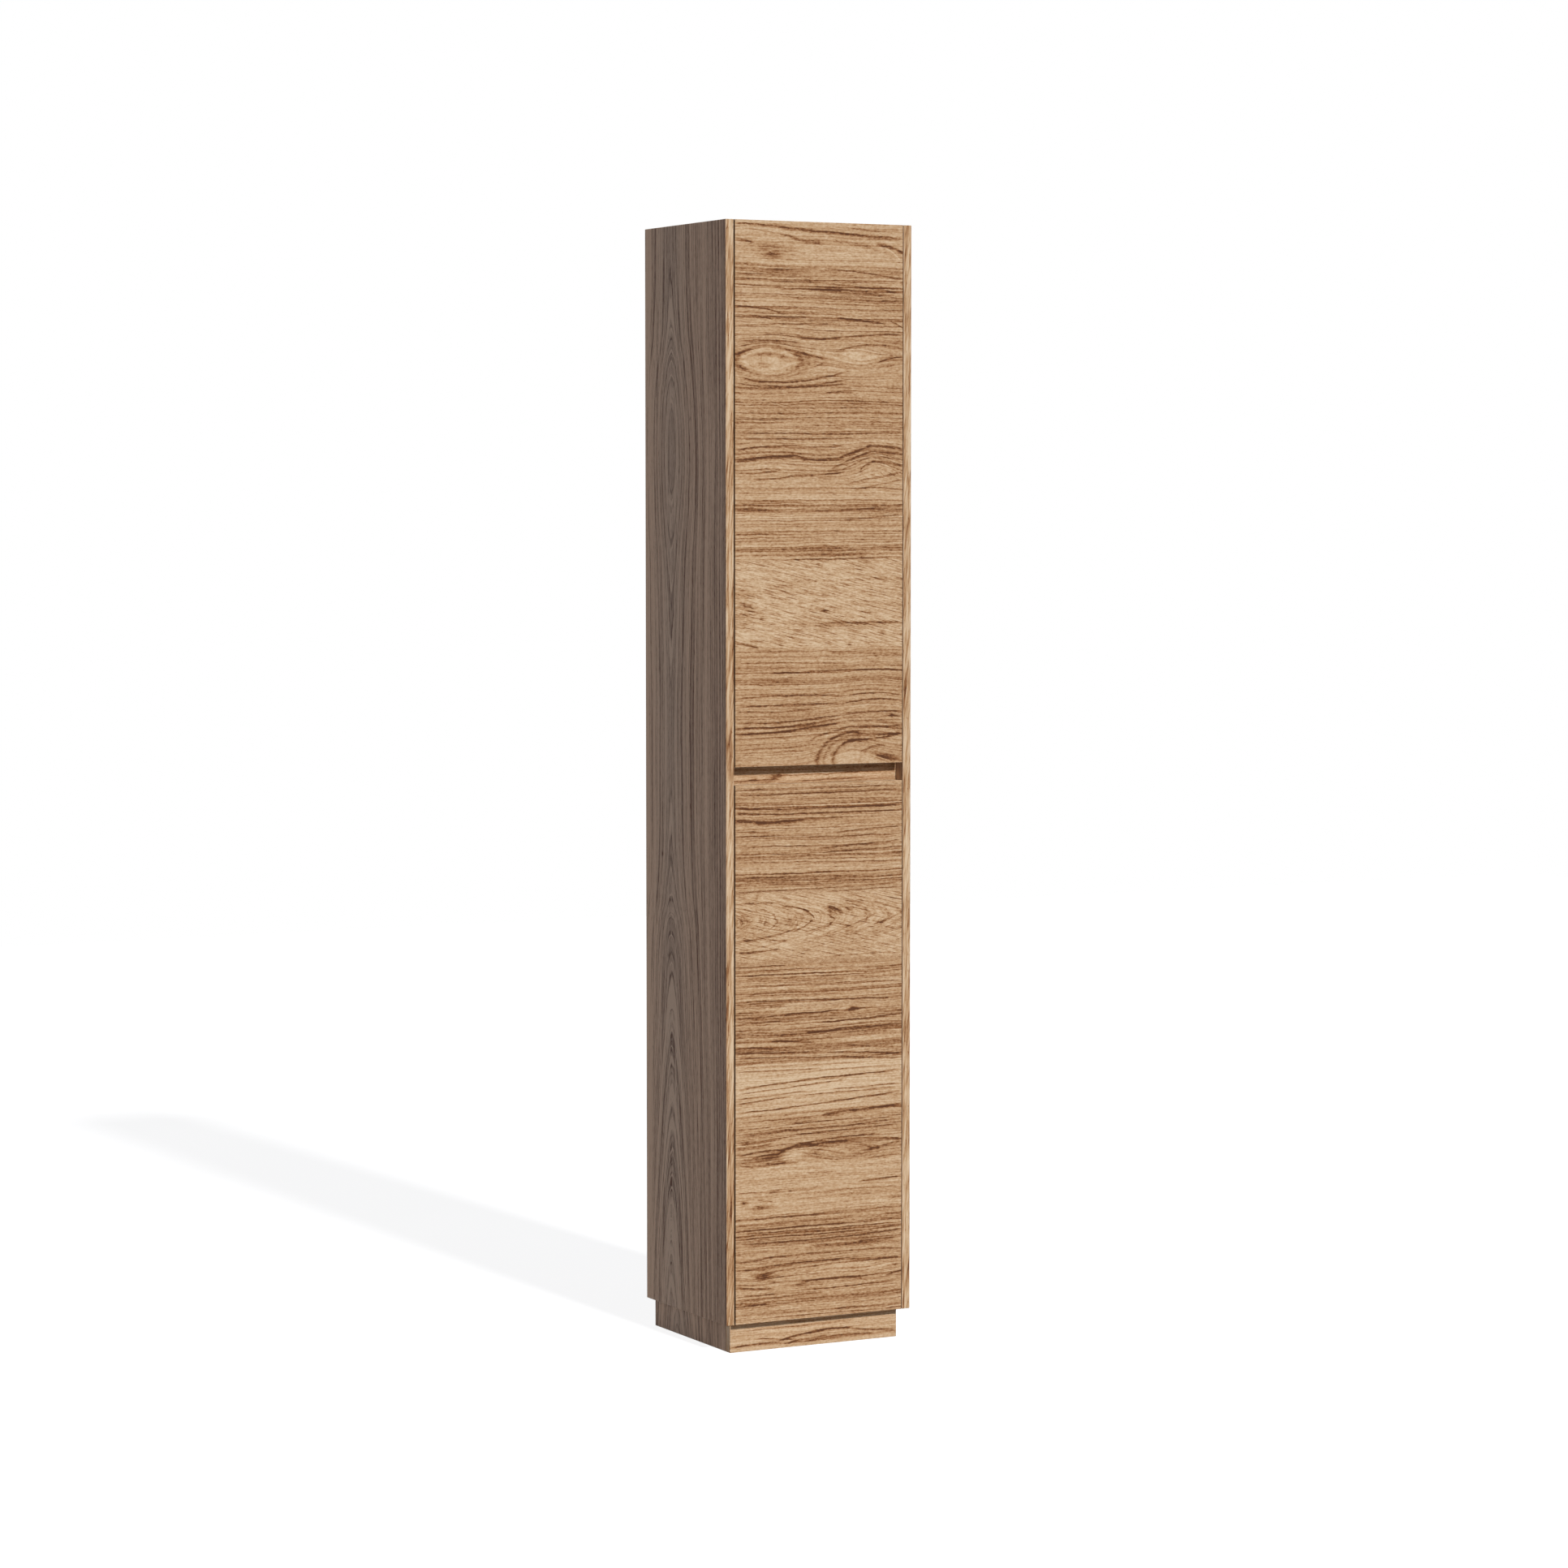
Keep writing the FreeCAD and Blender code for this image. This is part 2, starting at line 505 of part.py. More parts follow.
    # The plate is a bar with two wings, screwed to the side panel.
    bar = box(tag + "_bar", ("inner_left", "plate_front", "%s - plate_height / 2" % z),
              ("plate_thick", "plate_length", "plate_height"))
    wings = box(tag + "_wings", ("inner_left", "plate_screw_y - wing_length / 2", "%s - wing_height / 2" % z),
                ("plate_thick", "wing_length", "wing_height"))
    plate_face = "inner_left + plate_thick"
    thread = (plate_face, "arm_screw_y", z)
    plate_holes = [hole(tag + "_thread", thread, "left", "arm_screw_radius", "plate_thick")]
    for end, sign in ENDS:
        at = "%s %s plate_screw_spacing / 2" % (z, sign)
        name = "%s_plate_screw_%s" % (tag, end)
        seat = (plate_face, "plate_screw_y", at)
        gather(door + "_plate_screws", screw(name, seat, "left", "plate_screw_radius",
                                             "plate_thick + plate_screw_bite"))
        plate_holes.append(hole(name + "_way", seat, "left", "plate_screw_radius", "plate_thick"))
        cuts["side_panel_left"].append(hole(name + "_hole", ("inner_left", "plate_screw_y", at), "left",
                                            "plate_screw_radius", "plate_screw_bite"))
    gather(door + "_hinge_plates", cut(tag + "_plate", fuse(tag + "_cross", [bar, wings]), plate_holes))


def catch(door, z):
    """A magnetic catch on the right side panel and the strike plate that it holds on the door."""
    tag = door + "_catch"
    panel = door + "_door_panel"
    housing = box(tag + "_block", ("inner_right - catch_width", "catch_front", "%s - catch_height / 2" % z),
                  ("catch_width", "catch_depth", "catch_height"))
    pocket = box(tag + "_pocket", ("catch_middle - magnet_width / 2", "catch_front",
                                   "%s - magnet_height / 2" % z),
                 ("magnet_width", "magnet_depth", "magnet_height"))
    magnet = box(tag + "_slab", ("catch_middle - magnet_width / 2 + fit_play", "catch_front",
                                 "%s - magnet_height / 2 + fit_play" % z),
                 ("magnet_width - 2 * fit_play", "magnet_depth - fit_play", "magnet_height - 2 * fit_play"))
    node(magnet, tag + "_magnet")
    holes = [pocket]
    face = "inner_right - catch_width"
    for end, sign in ENDS:
        at = "%s %s catch_screw_spacing / 2" % (z, sign)
        y = "catch_front + catch_depth / 2"
        name = "%s_screw_%s" % (tag, end)
        gather("catch_screws", screw(name, (face, y, at), "right", "catch_screw_radius",
                                     "catch_width + catch_screw_bite"))
        holes.append(hole(name + "_way", (face, y, at), "right", "catch_screw_radius", "catch_width"))
        cuts["side_panel_right"].append(hole(name + "_hole", ("inner_right", y, at), "right",
                                             "catch_screw_radius", "catch_screw_bite"))
    node(cut(tag + "_housing_cut", housing, holes), tag + "_housing")
    plate = box(tag + "_strike_blank", ("strike_middle - strike_width / 2", "door_back",
                                        "%s - strike_height / 2" % z),
                ("strike_width", "strike_thick", "strike_height"))
    strike_holes = []
    for end, sign in ENDS:
        at = "%s %s strike_screw_spacing / 2" % (z, sign)
        name = "%s_strike_screw_%s" % (tag, end)
        seat = ("strike_middle", "door_back", at)
        shank = cylinder(name + "_shank", seat, "front", "catch_screw_radius", "catch_screw_bite")
        head = cylinder(name + "_head", seat, "back", "screw_head_radius", "strike_thick")
        gather(door + "_strike_screws", fuse(name, [shank, head]))
        strike_holes.append(hole(name + "_way", seat, "back", "screw_head_radius", "strike_thick"))
        cuts[panel].append(hole(name + "_hole", seat, "front", "catch_screw_radius", "catch_screw_bite"))
    node(cut(door + "_strike_cut", plate, strike_holes), door + "_strike_plate")


def door_furniture(door, bottom, top):
    """Hinges spread over the height of a door, its catch near the finger gap, and its bumpers."""
    for number in range(HINGES_PER_DOOR):
        z = "%s + hinge_inset + %d * (%s - %s - 2 * hinge_inset) / %d" % (
            bottom, number, top, bottom, HINGES_PER_DOOR - 1)
        hinge(door, number + 1, z)
    catch(door, {"upper": "gap_top + catch_inset", "lower": "gap_bottom - catch_inset"}[door])
    middle = {"upper": "top_under + board_thick / 2", "lower": "plinth_height + board_thick / 2"}[door]
    for number in range(2):
        x = "inner_right - bumper_inset - %d * bumper_spread" % number
        seat = (x, "carcass_front", middle)
        gather("door_bumpers", cylinder("%s_bumper_%d" % (door, number), seat, "front", "bumper_radius",
                                        "bumper_gap - bumper_play"))


def plinth():
    """Plinth boards, the blocks in their corners and the screws through those blocks."""
    inside_left = "plinth_left_face + board_thick"
    inside_right = "plinth_left_face + plinth_width - board_thick"
    inside_front = "plinth_front_face + board_thick"
    inside_rear = "back_rail_front"
    for side, face, x_sign, x_way, side_board in (
            ("left", inside_left, 1, "left", "plinth_left"),
            ("right", inside_right, -1, "right", "plinth_right")):
        for end, line, y_sign, y_way, end_board in (
                ("front", inside_front, 1, "front", "plinth_front"),
                ("rear", inside_rear, -1, "back", "plinth_back")):
            tag = "plinth_block_%s_%s" % (side, end)
            x = "%s + %d * block_width / 2" % (face, x_sign)
            y = "%s + %d * block_width / 2" % (line, y_sign)
            block = box(tag, ("%s - block_width / 2" % x, "%s - block_width / 2" % y, "block_under"),
                        ("block_width", "block_width", "block_height"))
            foot = (x, y, "block_under")
            gather("plinth_screws", screw(tag + "_upright", foot, "up", "block_screw_radius",
                                          "block_height + block_screw_bite"))
            ways = [hole(tag + "_upright_way", foot, "up", "block_screw_radius", "block_height")]
            cuts["bottom_panel"].append(hole(tag + "_upright_hole", (x, y, "plinth_height"), "up",
                                             "block_screw_radius", "block_screw_bite"))
            reach = "block_width + block_screw_bite"
            inner_x = "%s + %d * block_width" % (face, x_sign)
            inner_y = "%s + %d * block_width" % (line, y_sign)
            low = "block_under + (block_height - block_screw_spacing) / 2"
            high = "block_under + (block_height + block_screw_spacing) / 2"
            off_x = "%s + %d * block_screw_offset" % (x, x_sign)
            off_y = "%s + %d * block_screw_offset" % (y, y_sign)
            for name, seat, wall, way, target in (
                    (tag + "_side", (inner_x, off_y, low), (face, off_y, low), x_way, side_board),
                    (tag + "_end", (off_x, inner_y, high), (off_x, line, high), y_way, end_board)):
                gather("plinth_block_screws", screw(name + "_screw", seat, way, "block_screw_radius", reach))
                ways.append(hole(name + "_way", seat, way, "block_screw_radius", "block_width"))
                cuts[target].append(hole(name + "_hole", wall, way, "block_screw_radius", "block_screw_bite"))
            gather("plinth_blocks", cut(tag + "_drilled", block, ways))
    return {
        "plinth_front": (("plinth_left_face", "plinth_front_face", "0"),
                         ("plinth_width", "board_thick", "plinth_height")),
        "plinth_left": (("plinth_left_face", inside_front, "0"),
                        ("board_thick", "rear - (%s)" % inside_front, "plinth_height")),
        "plinth_right": ((inside_right, inside_front, "0"),
                         ("board_thick", "rear - (%s)" % inside_front, "plinth_height")),
        "plinth_back": ((inside_left, inside_rear, "0"),
                        ("plinth_width - 2 * board_thick", "board_thick", "plinth_height")),
    }


# Corner and size of each carcass board and door.
boards = {
    "side_panel_left": (("left", "front", "plinth_height"),
                        ("board_thick", "cabinet_depth", "cabinet_height - plinth_height")),
    "side_panel_right": (("inner_right", "front", "plinth_height"),
                         ("board_thick", "cabinet_depth", "cabinet_height - plinth_height")),
    "top_panel": (("inner_left", "carcass_front", "top_under"),
                  ("inner_width", "rear - carcass_front", "board_thick")),
    "bottom_panel": (("inner_left", "carcass_front", "plinth_height"),
                     ("inner_width", "rear - carcass_front", "board_thick")),
    "fixed_shelf": (("inner_left", "rail_back", "fixed_under"),
                    ("inner_width", "back_face - rail_back", "board_thick")),
    "finger_rail": (("inner_left", "rail_front", "gap_middle - finger_rail_height / 2"),
                    ("inner_width", "board_thick", "finger_rail_height")),
    "back_panel": (("inner_left - groove_depth + groove_play", "back_face",
                    "floor_top - groove_depth + groove_play"),
                   ("inner_width + 2 * groove_depth - 2 * groove_play", "back_thick",
                    "top_under - floor_top + 2 * groove_depth - 2 * groove_play")),
    "upper_back_rail": (("inner_left", "back_rail_front", "top_under - back_rail_height"),
                        ("inner_width", "board_thick", "back_rail_height")),
    "lower_back_rail": (("inner_left", "back_rail_front", "floor_top"),
                        ("inner_width", "board_thick", "back_rail_height")),
    "upper_door_panel": (("door_left", "front", "gap_top"),
                         ("door_width", "door_thick", "upper_door_height")),
    "lower_door_panel": (("door_left", "front", "plinth_height"),
                         ("door_width", "door_thick", "lower_door_height")),
}

joinery()
back_grooves()
boards.update(plinth())
loose_shelves("upper")
loose_shelves("lower")
door_furniture("upper", "gap_top", "cabinet_height")
door_furniture("lower", "plinth_height", "gap_bottom")

for name, (corner, size) in boards.items():
    plain = board(name + "_board", corner, size)
    node(cut(name + "_cut", plain, cuts[name]), name)
for name, pieces in groups.items():
    node(compound(name + "_group", pieces), name)

doc.recompute()
for thing in doc.Objects:
    if "Invalid" in thing.State or "Error" in thing.State:
        raise RuntimeError("%s did not recompute: %s" % (thing.Label, thing.State))
for thing in nodes:
    if thing.Shape.isNull() or not thing.Shape.isValid() or not thing.Shape.Solids:
        raise RuntimeError("%s has no valid solid" % thing.Label)

os.makedirs("parts", exist_ok=True)
for thing in nodes:
    thing.Shape.exportStep("parts/%s.step" % thing.Label)
print("%d sub-parts written" % len(nodes))
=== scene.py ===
import json
import math

import bmesh
import bpy
from bpy.props import FloatProperty, FloatVectorProperty, PointerProperty
from mathutils import Matrix, Vector


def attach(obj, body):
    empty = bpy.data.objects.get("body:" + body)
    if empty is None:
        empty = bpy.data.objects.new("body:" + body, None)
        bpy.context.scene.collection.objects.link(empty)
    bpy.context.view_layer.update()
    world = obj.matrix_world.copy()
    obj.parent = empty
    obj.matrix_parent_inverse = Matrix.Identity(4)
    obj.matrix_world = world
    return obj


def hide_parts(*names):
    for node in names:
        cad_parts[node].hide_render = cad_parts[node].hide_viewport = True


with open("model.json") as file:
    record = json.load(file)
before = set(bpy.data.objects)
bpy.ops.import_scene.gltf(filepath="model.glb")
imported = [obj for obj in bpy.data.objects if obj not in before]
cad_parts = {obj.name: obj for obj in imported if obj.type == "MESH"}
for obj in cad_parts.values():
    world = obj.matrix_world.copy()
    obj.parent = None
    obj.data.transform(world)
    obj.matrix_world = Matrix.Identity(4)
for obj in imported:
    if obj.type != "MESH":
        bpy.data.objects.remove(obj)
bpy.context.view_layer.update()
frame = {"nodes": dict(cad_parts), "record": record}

bl_info = {
    "name": "Tall cabinet looks",
    "version": (1, 0, 0),
    "blender": (4, 5, 0),
    "location": "View3D > Sidebar > Cabinet",
    "description": "Dresses the packed tall cabinet in wood decor and hardware finishes on a plain stage",
    "category": "Object",
}

NODES = frame["nodes"]

# The drawn figure of the upper door, in millimetres across from the cabinet's middle and up from the floor.
# A stroke is a dark growth line: from and to, the bow of its middle, half its thickness and its strength.
UPPER_STROKES = (
    (-160, 1875, -85, 1871, 0, 1.6, 0.8), (-100, 1872, 160, 1857, -1, 2.6, 1.0),
    (58, 1871, 118, 1868, 0, 0.9, 0.7), (-145, 1867, -50, 1855, 1, 1.0, 0.6),
    (-62, 1857, 8, 1846, -3, 2.6, 0.7), (-160, 1851, -122, 1843, 0, 1.4, 0.5),
    (106, 1847, 162, 1833, 3, 2.8, 0.8), (108, 1842, 154, 1821, 7, 1.4, -0.6),
    (-100, 1800, 5, 1804, 0, 0.9, 0.6), (5, 1805, 162, 1790, 1, 1.0, 0.7),
    (-160, 1792, -30, 1794, 0, 0.9, 0.6), (-84, 1780, 162, 1766, 5, 1.0, 0.6),
    (-80, 1768, 45, 1766, 2, 1.2, 0.5), (20, 1774, 162, 1756, 0, 1.3, 0.4),
    (-160, 1775, -60, 1771, 0, 0.9, 0.5), (-160, 1738, -78, 1731, 3, 1.3, 0.9),
    (-92, 1731, 10, 1732, -1, 1.0, 0.7), (-160, 1720, -80, 1716, 4, 1.0, 0.6),
    (-84, 1716, 30, 1718, 0, 1.0, 0.5), (-105, 1724, -15, 1725, -2, 1.0, 0.7),
    (-160, 1707, 45, 1712, 2, 1.2, 0.7), (28, 1724, 128, 1714, 1, 1.4, 0.9),
    (134, 1720, 162, 1706, 1, 1.3, 0.8), (-105, 1694, -40, 1689, 1, 1.0, 0.7),
    (-45, 1690, 48, 1692, -3, 1.7, 0.9), (40, 1691, 162, 1697, 2, 1.4, 0.9),
    (-48, 1667, 14, 1653, 1, 1.6, 0.5), (-46, 1634, 12, 1650, -2, 1.4, 0.45),
    (-160, 1680, -30, 1680, 4, 1.3, 0.7), (-160, 1624, 60, 1638, -15, 1.4, 0.9),
    (30, 1668, 162, 1675, 8, 1.5, 0.7), (108, 1649, 160, 1661, 2, 1.6, 0.6),
    (-160, 1613, 62, 1623, -9, 1.3, 0.8), (-160, 1606, 60, 1616, -4, 1.2, 0.7),
    (10, 1599, 66, 1599, 1, 1.2, 0.8), (20, 1607, 62, 1607, 1, 1.0, 0.6),
    (125, 1608, 162, 1608, 0, 1.2, 0.6), (-160, 1571, 162, 1577, 0, 0.8, 0.5),
    (-160, 1554, 60, 1553, 0, 0.8, 0.5), (-160, 1532, 162, 1535, -2, 1.2, 0.7),
    (-160, 1521, 75, 1525, -1, 1.2, 0.7), (-160, 1502, -25, 1511, 3, 1.6, 0.9),
    (-40, 1508, 48, 1512, -1, 1.3, 0.7), (-160, 1483, -35, 1495, 3, 2.6, 1.0),
    (-48, 1495, 45, 1492, -5, 2.0, 0.9), (35, 1491, 100, 1513, 0, 2.3, 0.8),
    (88, 1512, 162, 1507, 2, 1.9, 0.9), (18, 1470, 100, 1503, 2, 1.8, 0.7),
    (92, 1503, 162, 1497, 1, 1.3, 0.8), (40, 1470, 100, 1494, 1, 1.2, 0.6),
    (96, 1494, 162, 1488, 1, 1.2, 0.6), (76, 1470, 106, 1487, 3, 1.8, 0.7),
    (98, 1487, 162, 1477, 2, 2.0, 0.8), (-160, 1465, -70, 1471, -3, 1.2, 0.6),
    (-125, 1454, -48, 1462, -2, 1.3, 0.7), (-56, 1462, 50, 1468, -2, 1.4, 0.7),
    (48, 1448, 162, 1468, 1, 1.8, 0.6), (60, 1436, 162, 1456, 1, 1.2, 0.5),
    (-160, 1415, 0, 1416, 0, 1.1, 0.4), (-160, 1404, -70, 1403, 0, 1.3, 0.4),
    (-20, 1402, 162, 1411, 0, 1.2, 0.35), (40, 1387, 162, 1398, 0, 1.2, 0.6),
    (-160, 1364, -80, 1366, 0, 1.1, 0.6), (-70, 1323, 162, 1327, -1, 1.1, 0.8),
    (-10, 1216, 155, 1217, 0, 2.4, 0.6), (-160, 1185, -112, 1177, 1, 1.8, 0.8),
    (10, 1168, 162, 1165, 0, 2.4, 0.5), (-160, 1152, 55, 1149, 1, 1.0, 0.7),
    (-110, 1133, 162, 1136, 3, 1.1, 0.8), (-160, 1094, 60, 1094, 3, 1.3, 0.8),
    (50, 1094, 162, 1093, 5, 1.2, 0.8), (-160, 1079, 50, 1081, 2, 1.2, 0.8),
    (40, 1081, 162, 1085, 5, 1.1, 0.7), (-160, 1073, -15, 1074, -3, 1.5, 0.7),
    (-160, 1054, 48, 1065, -6, 1.6, 0.9), (40, 1065, 162, 1067, 1, 1.1, 0.7),
    (-160, 1046, 48, 1058, -6, 1.7, 0.9), (42, 1058, 162, 1059, 0, 1.0, 0.7),
    (-160, 1035, 55, 1053, -5, 1.6, 0.9), (50, 1053, 162, 1053, 0, 1.0, 0.6),
    (-20, 1021, 62, 1043, 3, 1.5, 0.6), (52, 1043, 162, 1044, -2, 1.5, 0.8),
    (20, 1022, 66, 1034, 2, 1.6, 0.6), (58, 1034, 162, 1032, -4, 1.9, 0.9),
    (42, 1014, 72, 1021, 1, 1.6, 0.6), (60, 1021, 162, 1031, -3, 1.7, 0.9),
    (76, 1000, 130, 1012, 3, 1.6, 0.5),
)
# An eye is a closed figure that the growth lines part for: its middle, half its length and height, how far
# it pushes the lines, the strength of its dark rim, how light its inside is, whether its rim is open to the
# right, and how crisp the rim is.
UPPER_EYES = (
    (-95, 1650, 62, 25, 1.0, 0.85, 0.75, 0, 6.0), (75, 1660, 38, 15, 0.9, 0.1, 0.75, 0, 9.0),
    (66, 986, 71, 48, 0.0, 1.1, 0.0, 1, 9.0), (66, 986, 58, 42, 0.0, 0.7, 0.0, 1, 9.0),
    (72, 986, 47, 35, 0.0, 1.2, 0.1, 1, 6.5), (110, 979, 36, 29, 0.0, 0.4, 0.0, 1, 7.0),
)
# A swell bends all the lines that cross it one way: its middle, half its length and height, and the lift.
UPPER_SWELLS = (
    (104, 1482, 44, 30, -17), (-85, 1494, 60, 30, -5), (100, 1080, 60, 60, -7), (62, 985, 60, 42, -26),
    (-90, 1725, 60, 20, 3),
)
# A smudge is a soft dark or light patch: its middle, half its length and height, its slope and its strength.
UPPER_SMUDGES = (
    (-98, 1839, 32, 3, -0.05, 1.1), (-104, 1833, 24, 3, 0.1, 1.0), (-90, 1826, 20, 4, 0.1, 1.4),
    (-84, 1820, 15, 3, 0.0, 1.2), (-58, 1830, 16, 3, 0.1, 0.5), (-142, 1846, 22, 4, -0.1, 0.5),
    (-150, 1824, 10, 5, 0.3, 0.5), (-5, 1850, 45, 3, -0.1, 0.6), (65, 1847, 45, 3, -0.1, 0.6),
    (100, 1838, 30, 3, -0.2, 0.6), (30, 1815, 60, 3, 0.0, 0.4), (15, 1863, 55, 4, -0.05, 0.5),
    (-20, 1834, 30, 8, 0.0, -0.3), (60, 1830, 35, 6, -0.05, -0.3), (126, 1834, 18, 5, -0.3, -0.4),
    (146, 1828, 14, 6, -0.4, 0.45), (0, 1773, 55, 9, -0.03, 0.3), (95, 1764, 75, 12, -0.11, 0.85),
    (-110, 1752, 50, 14, 0.0, -0.3), (-146, 1663, 13, 6, 0.3, 0.6), (-28, 1660, 17, 4, -0.1, 0.7),
    (-142, 1636, 14, 5, -0.3, 0.5), (-95, 1661, 12, 3, 0.0, 0.8), (-125, 1657, 8, 3, 0.2, 0.7),
    (-70, 1656, 7, 2, 0.0, 0.7), (-100, 1640, 9, 2, 0.0, 0.5), (0, 1652, 16, 6, 0.0, 0.3),
    (135, 1657, 24, 5, 0.2, 0.45), (70, 1504, 14, 5, 0.6, 0.5), (30, 1470, 22, 8, 0.3, 0.35),
    (-120, 1478, 45, 8, 0.1, -0.25), (-130, 1402, 45, 6, 0.0, 0.35), (112, 1404, 60, 13, 0.08, 0.4),
    (-120, 1390, 45, 8, 0.0, -0.3), (25, 1333, 58, 10, 0.0, 0.5), (-120, 1356, 45, 5, 0.0, 0.25),
    (82, 1331, 5, 6, 0.0, 0.5), (-2, 1355, 7, 4, 0.0, 0.4), (-2, 1314, 4, 3, 0.0, 1.2),
    (-142, 1262, 22, 9, 0.0, 0.9), (-138, 1243, 20, 5, -0.1, 1.2), (-142, 1228, 20, 4, 0.0, 1.0),
    (-150, 1210, 16, 5, 0.1, 0.5), (40, 1213, 90, 5, 0.0, 0.9), (120, 1290, 40, 5, -0.1, 0.6),
    (-40, 1283, 50, 5, 0.1, 0.6), (150, 1250, 12, 9, 0.0, 0.5), (-75, 1242, 26, 14, 0.0, -0.35),
    (-107, 1226, 5, 3, 0.0, 1.5), (7, 1262, 4, 3, 0.0, 1.4), (62, 1260, 5, 2, 0.2, 1.4),
    (8, 1236, 6, 3, 0.0, 1.5), (-8, 1253, 5, 2, 0.0, 1.3), (-35, 1250, 5, 2, 0.0, 1.4),
    (-54, 1249, 4, 2, 0.0, 1.4), (120, 1201, 4, 3, 0.0, 1.3), (57, 1180, 4, 4, 0.0, 1.3),
    (-76, 1190, 11, 3, 0.0, 1.2), (-72, 1181, 4, 4, 0.0, 1.3), (-80, 1120, 60, 9, 0.0, 0.2),
    (139, 1059, 6, 4, 0.0, 1.6), (-47, 1005, 5, 2, 0.0, 0.6), (-2, 992, 5, 12, 0.0, 0.3),
    (27, 993, 5, 11, 0.0, 0.4), (126, 991, 26, 8, -0.2, 1.5), (-110, 1000, 60, 12, 0.0, -0.2),
)
# A stave is one board of the face: its lowest and highest place, its tone, its growth lines and its flecks.
UPPER_STAVES = (
    (1808, 1880, -0.05, 0.55, 0.3), (1696, 1808, 0.0, 1.0, 0.3), (1590, 1696, 0.02, 0.8, 0.3),
    (1452, 1590, 0.04, 0.9, 0.5), (1324, 1452, -0.02, 1.0, 0.2), (1176, 1324, -0.17, 0.25, 1.9),
    (980, 1176, 0.03, 0.8, 0.3),
)

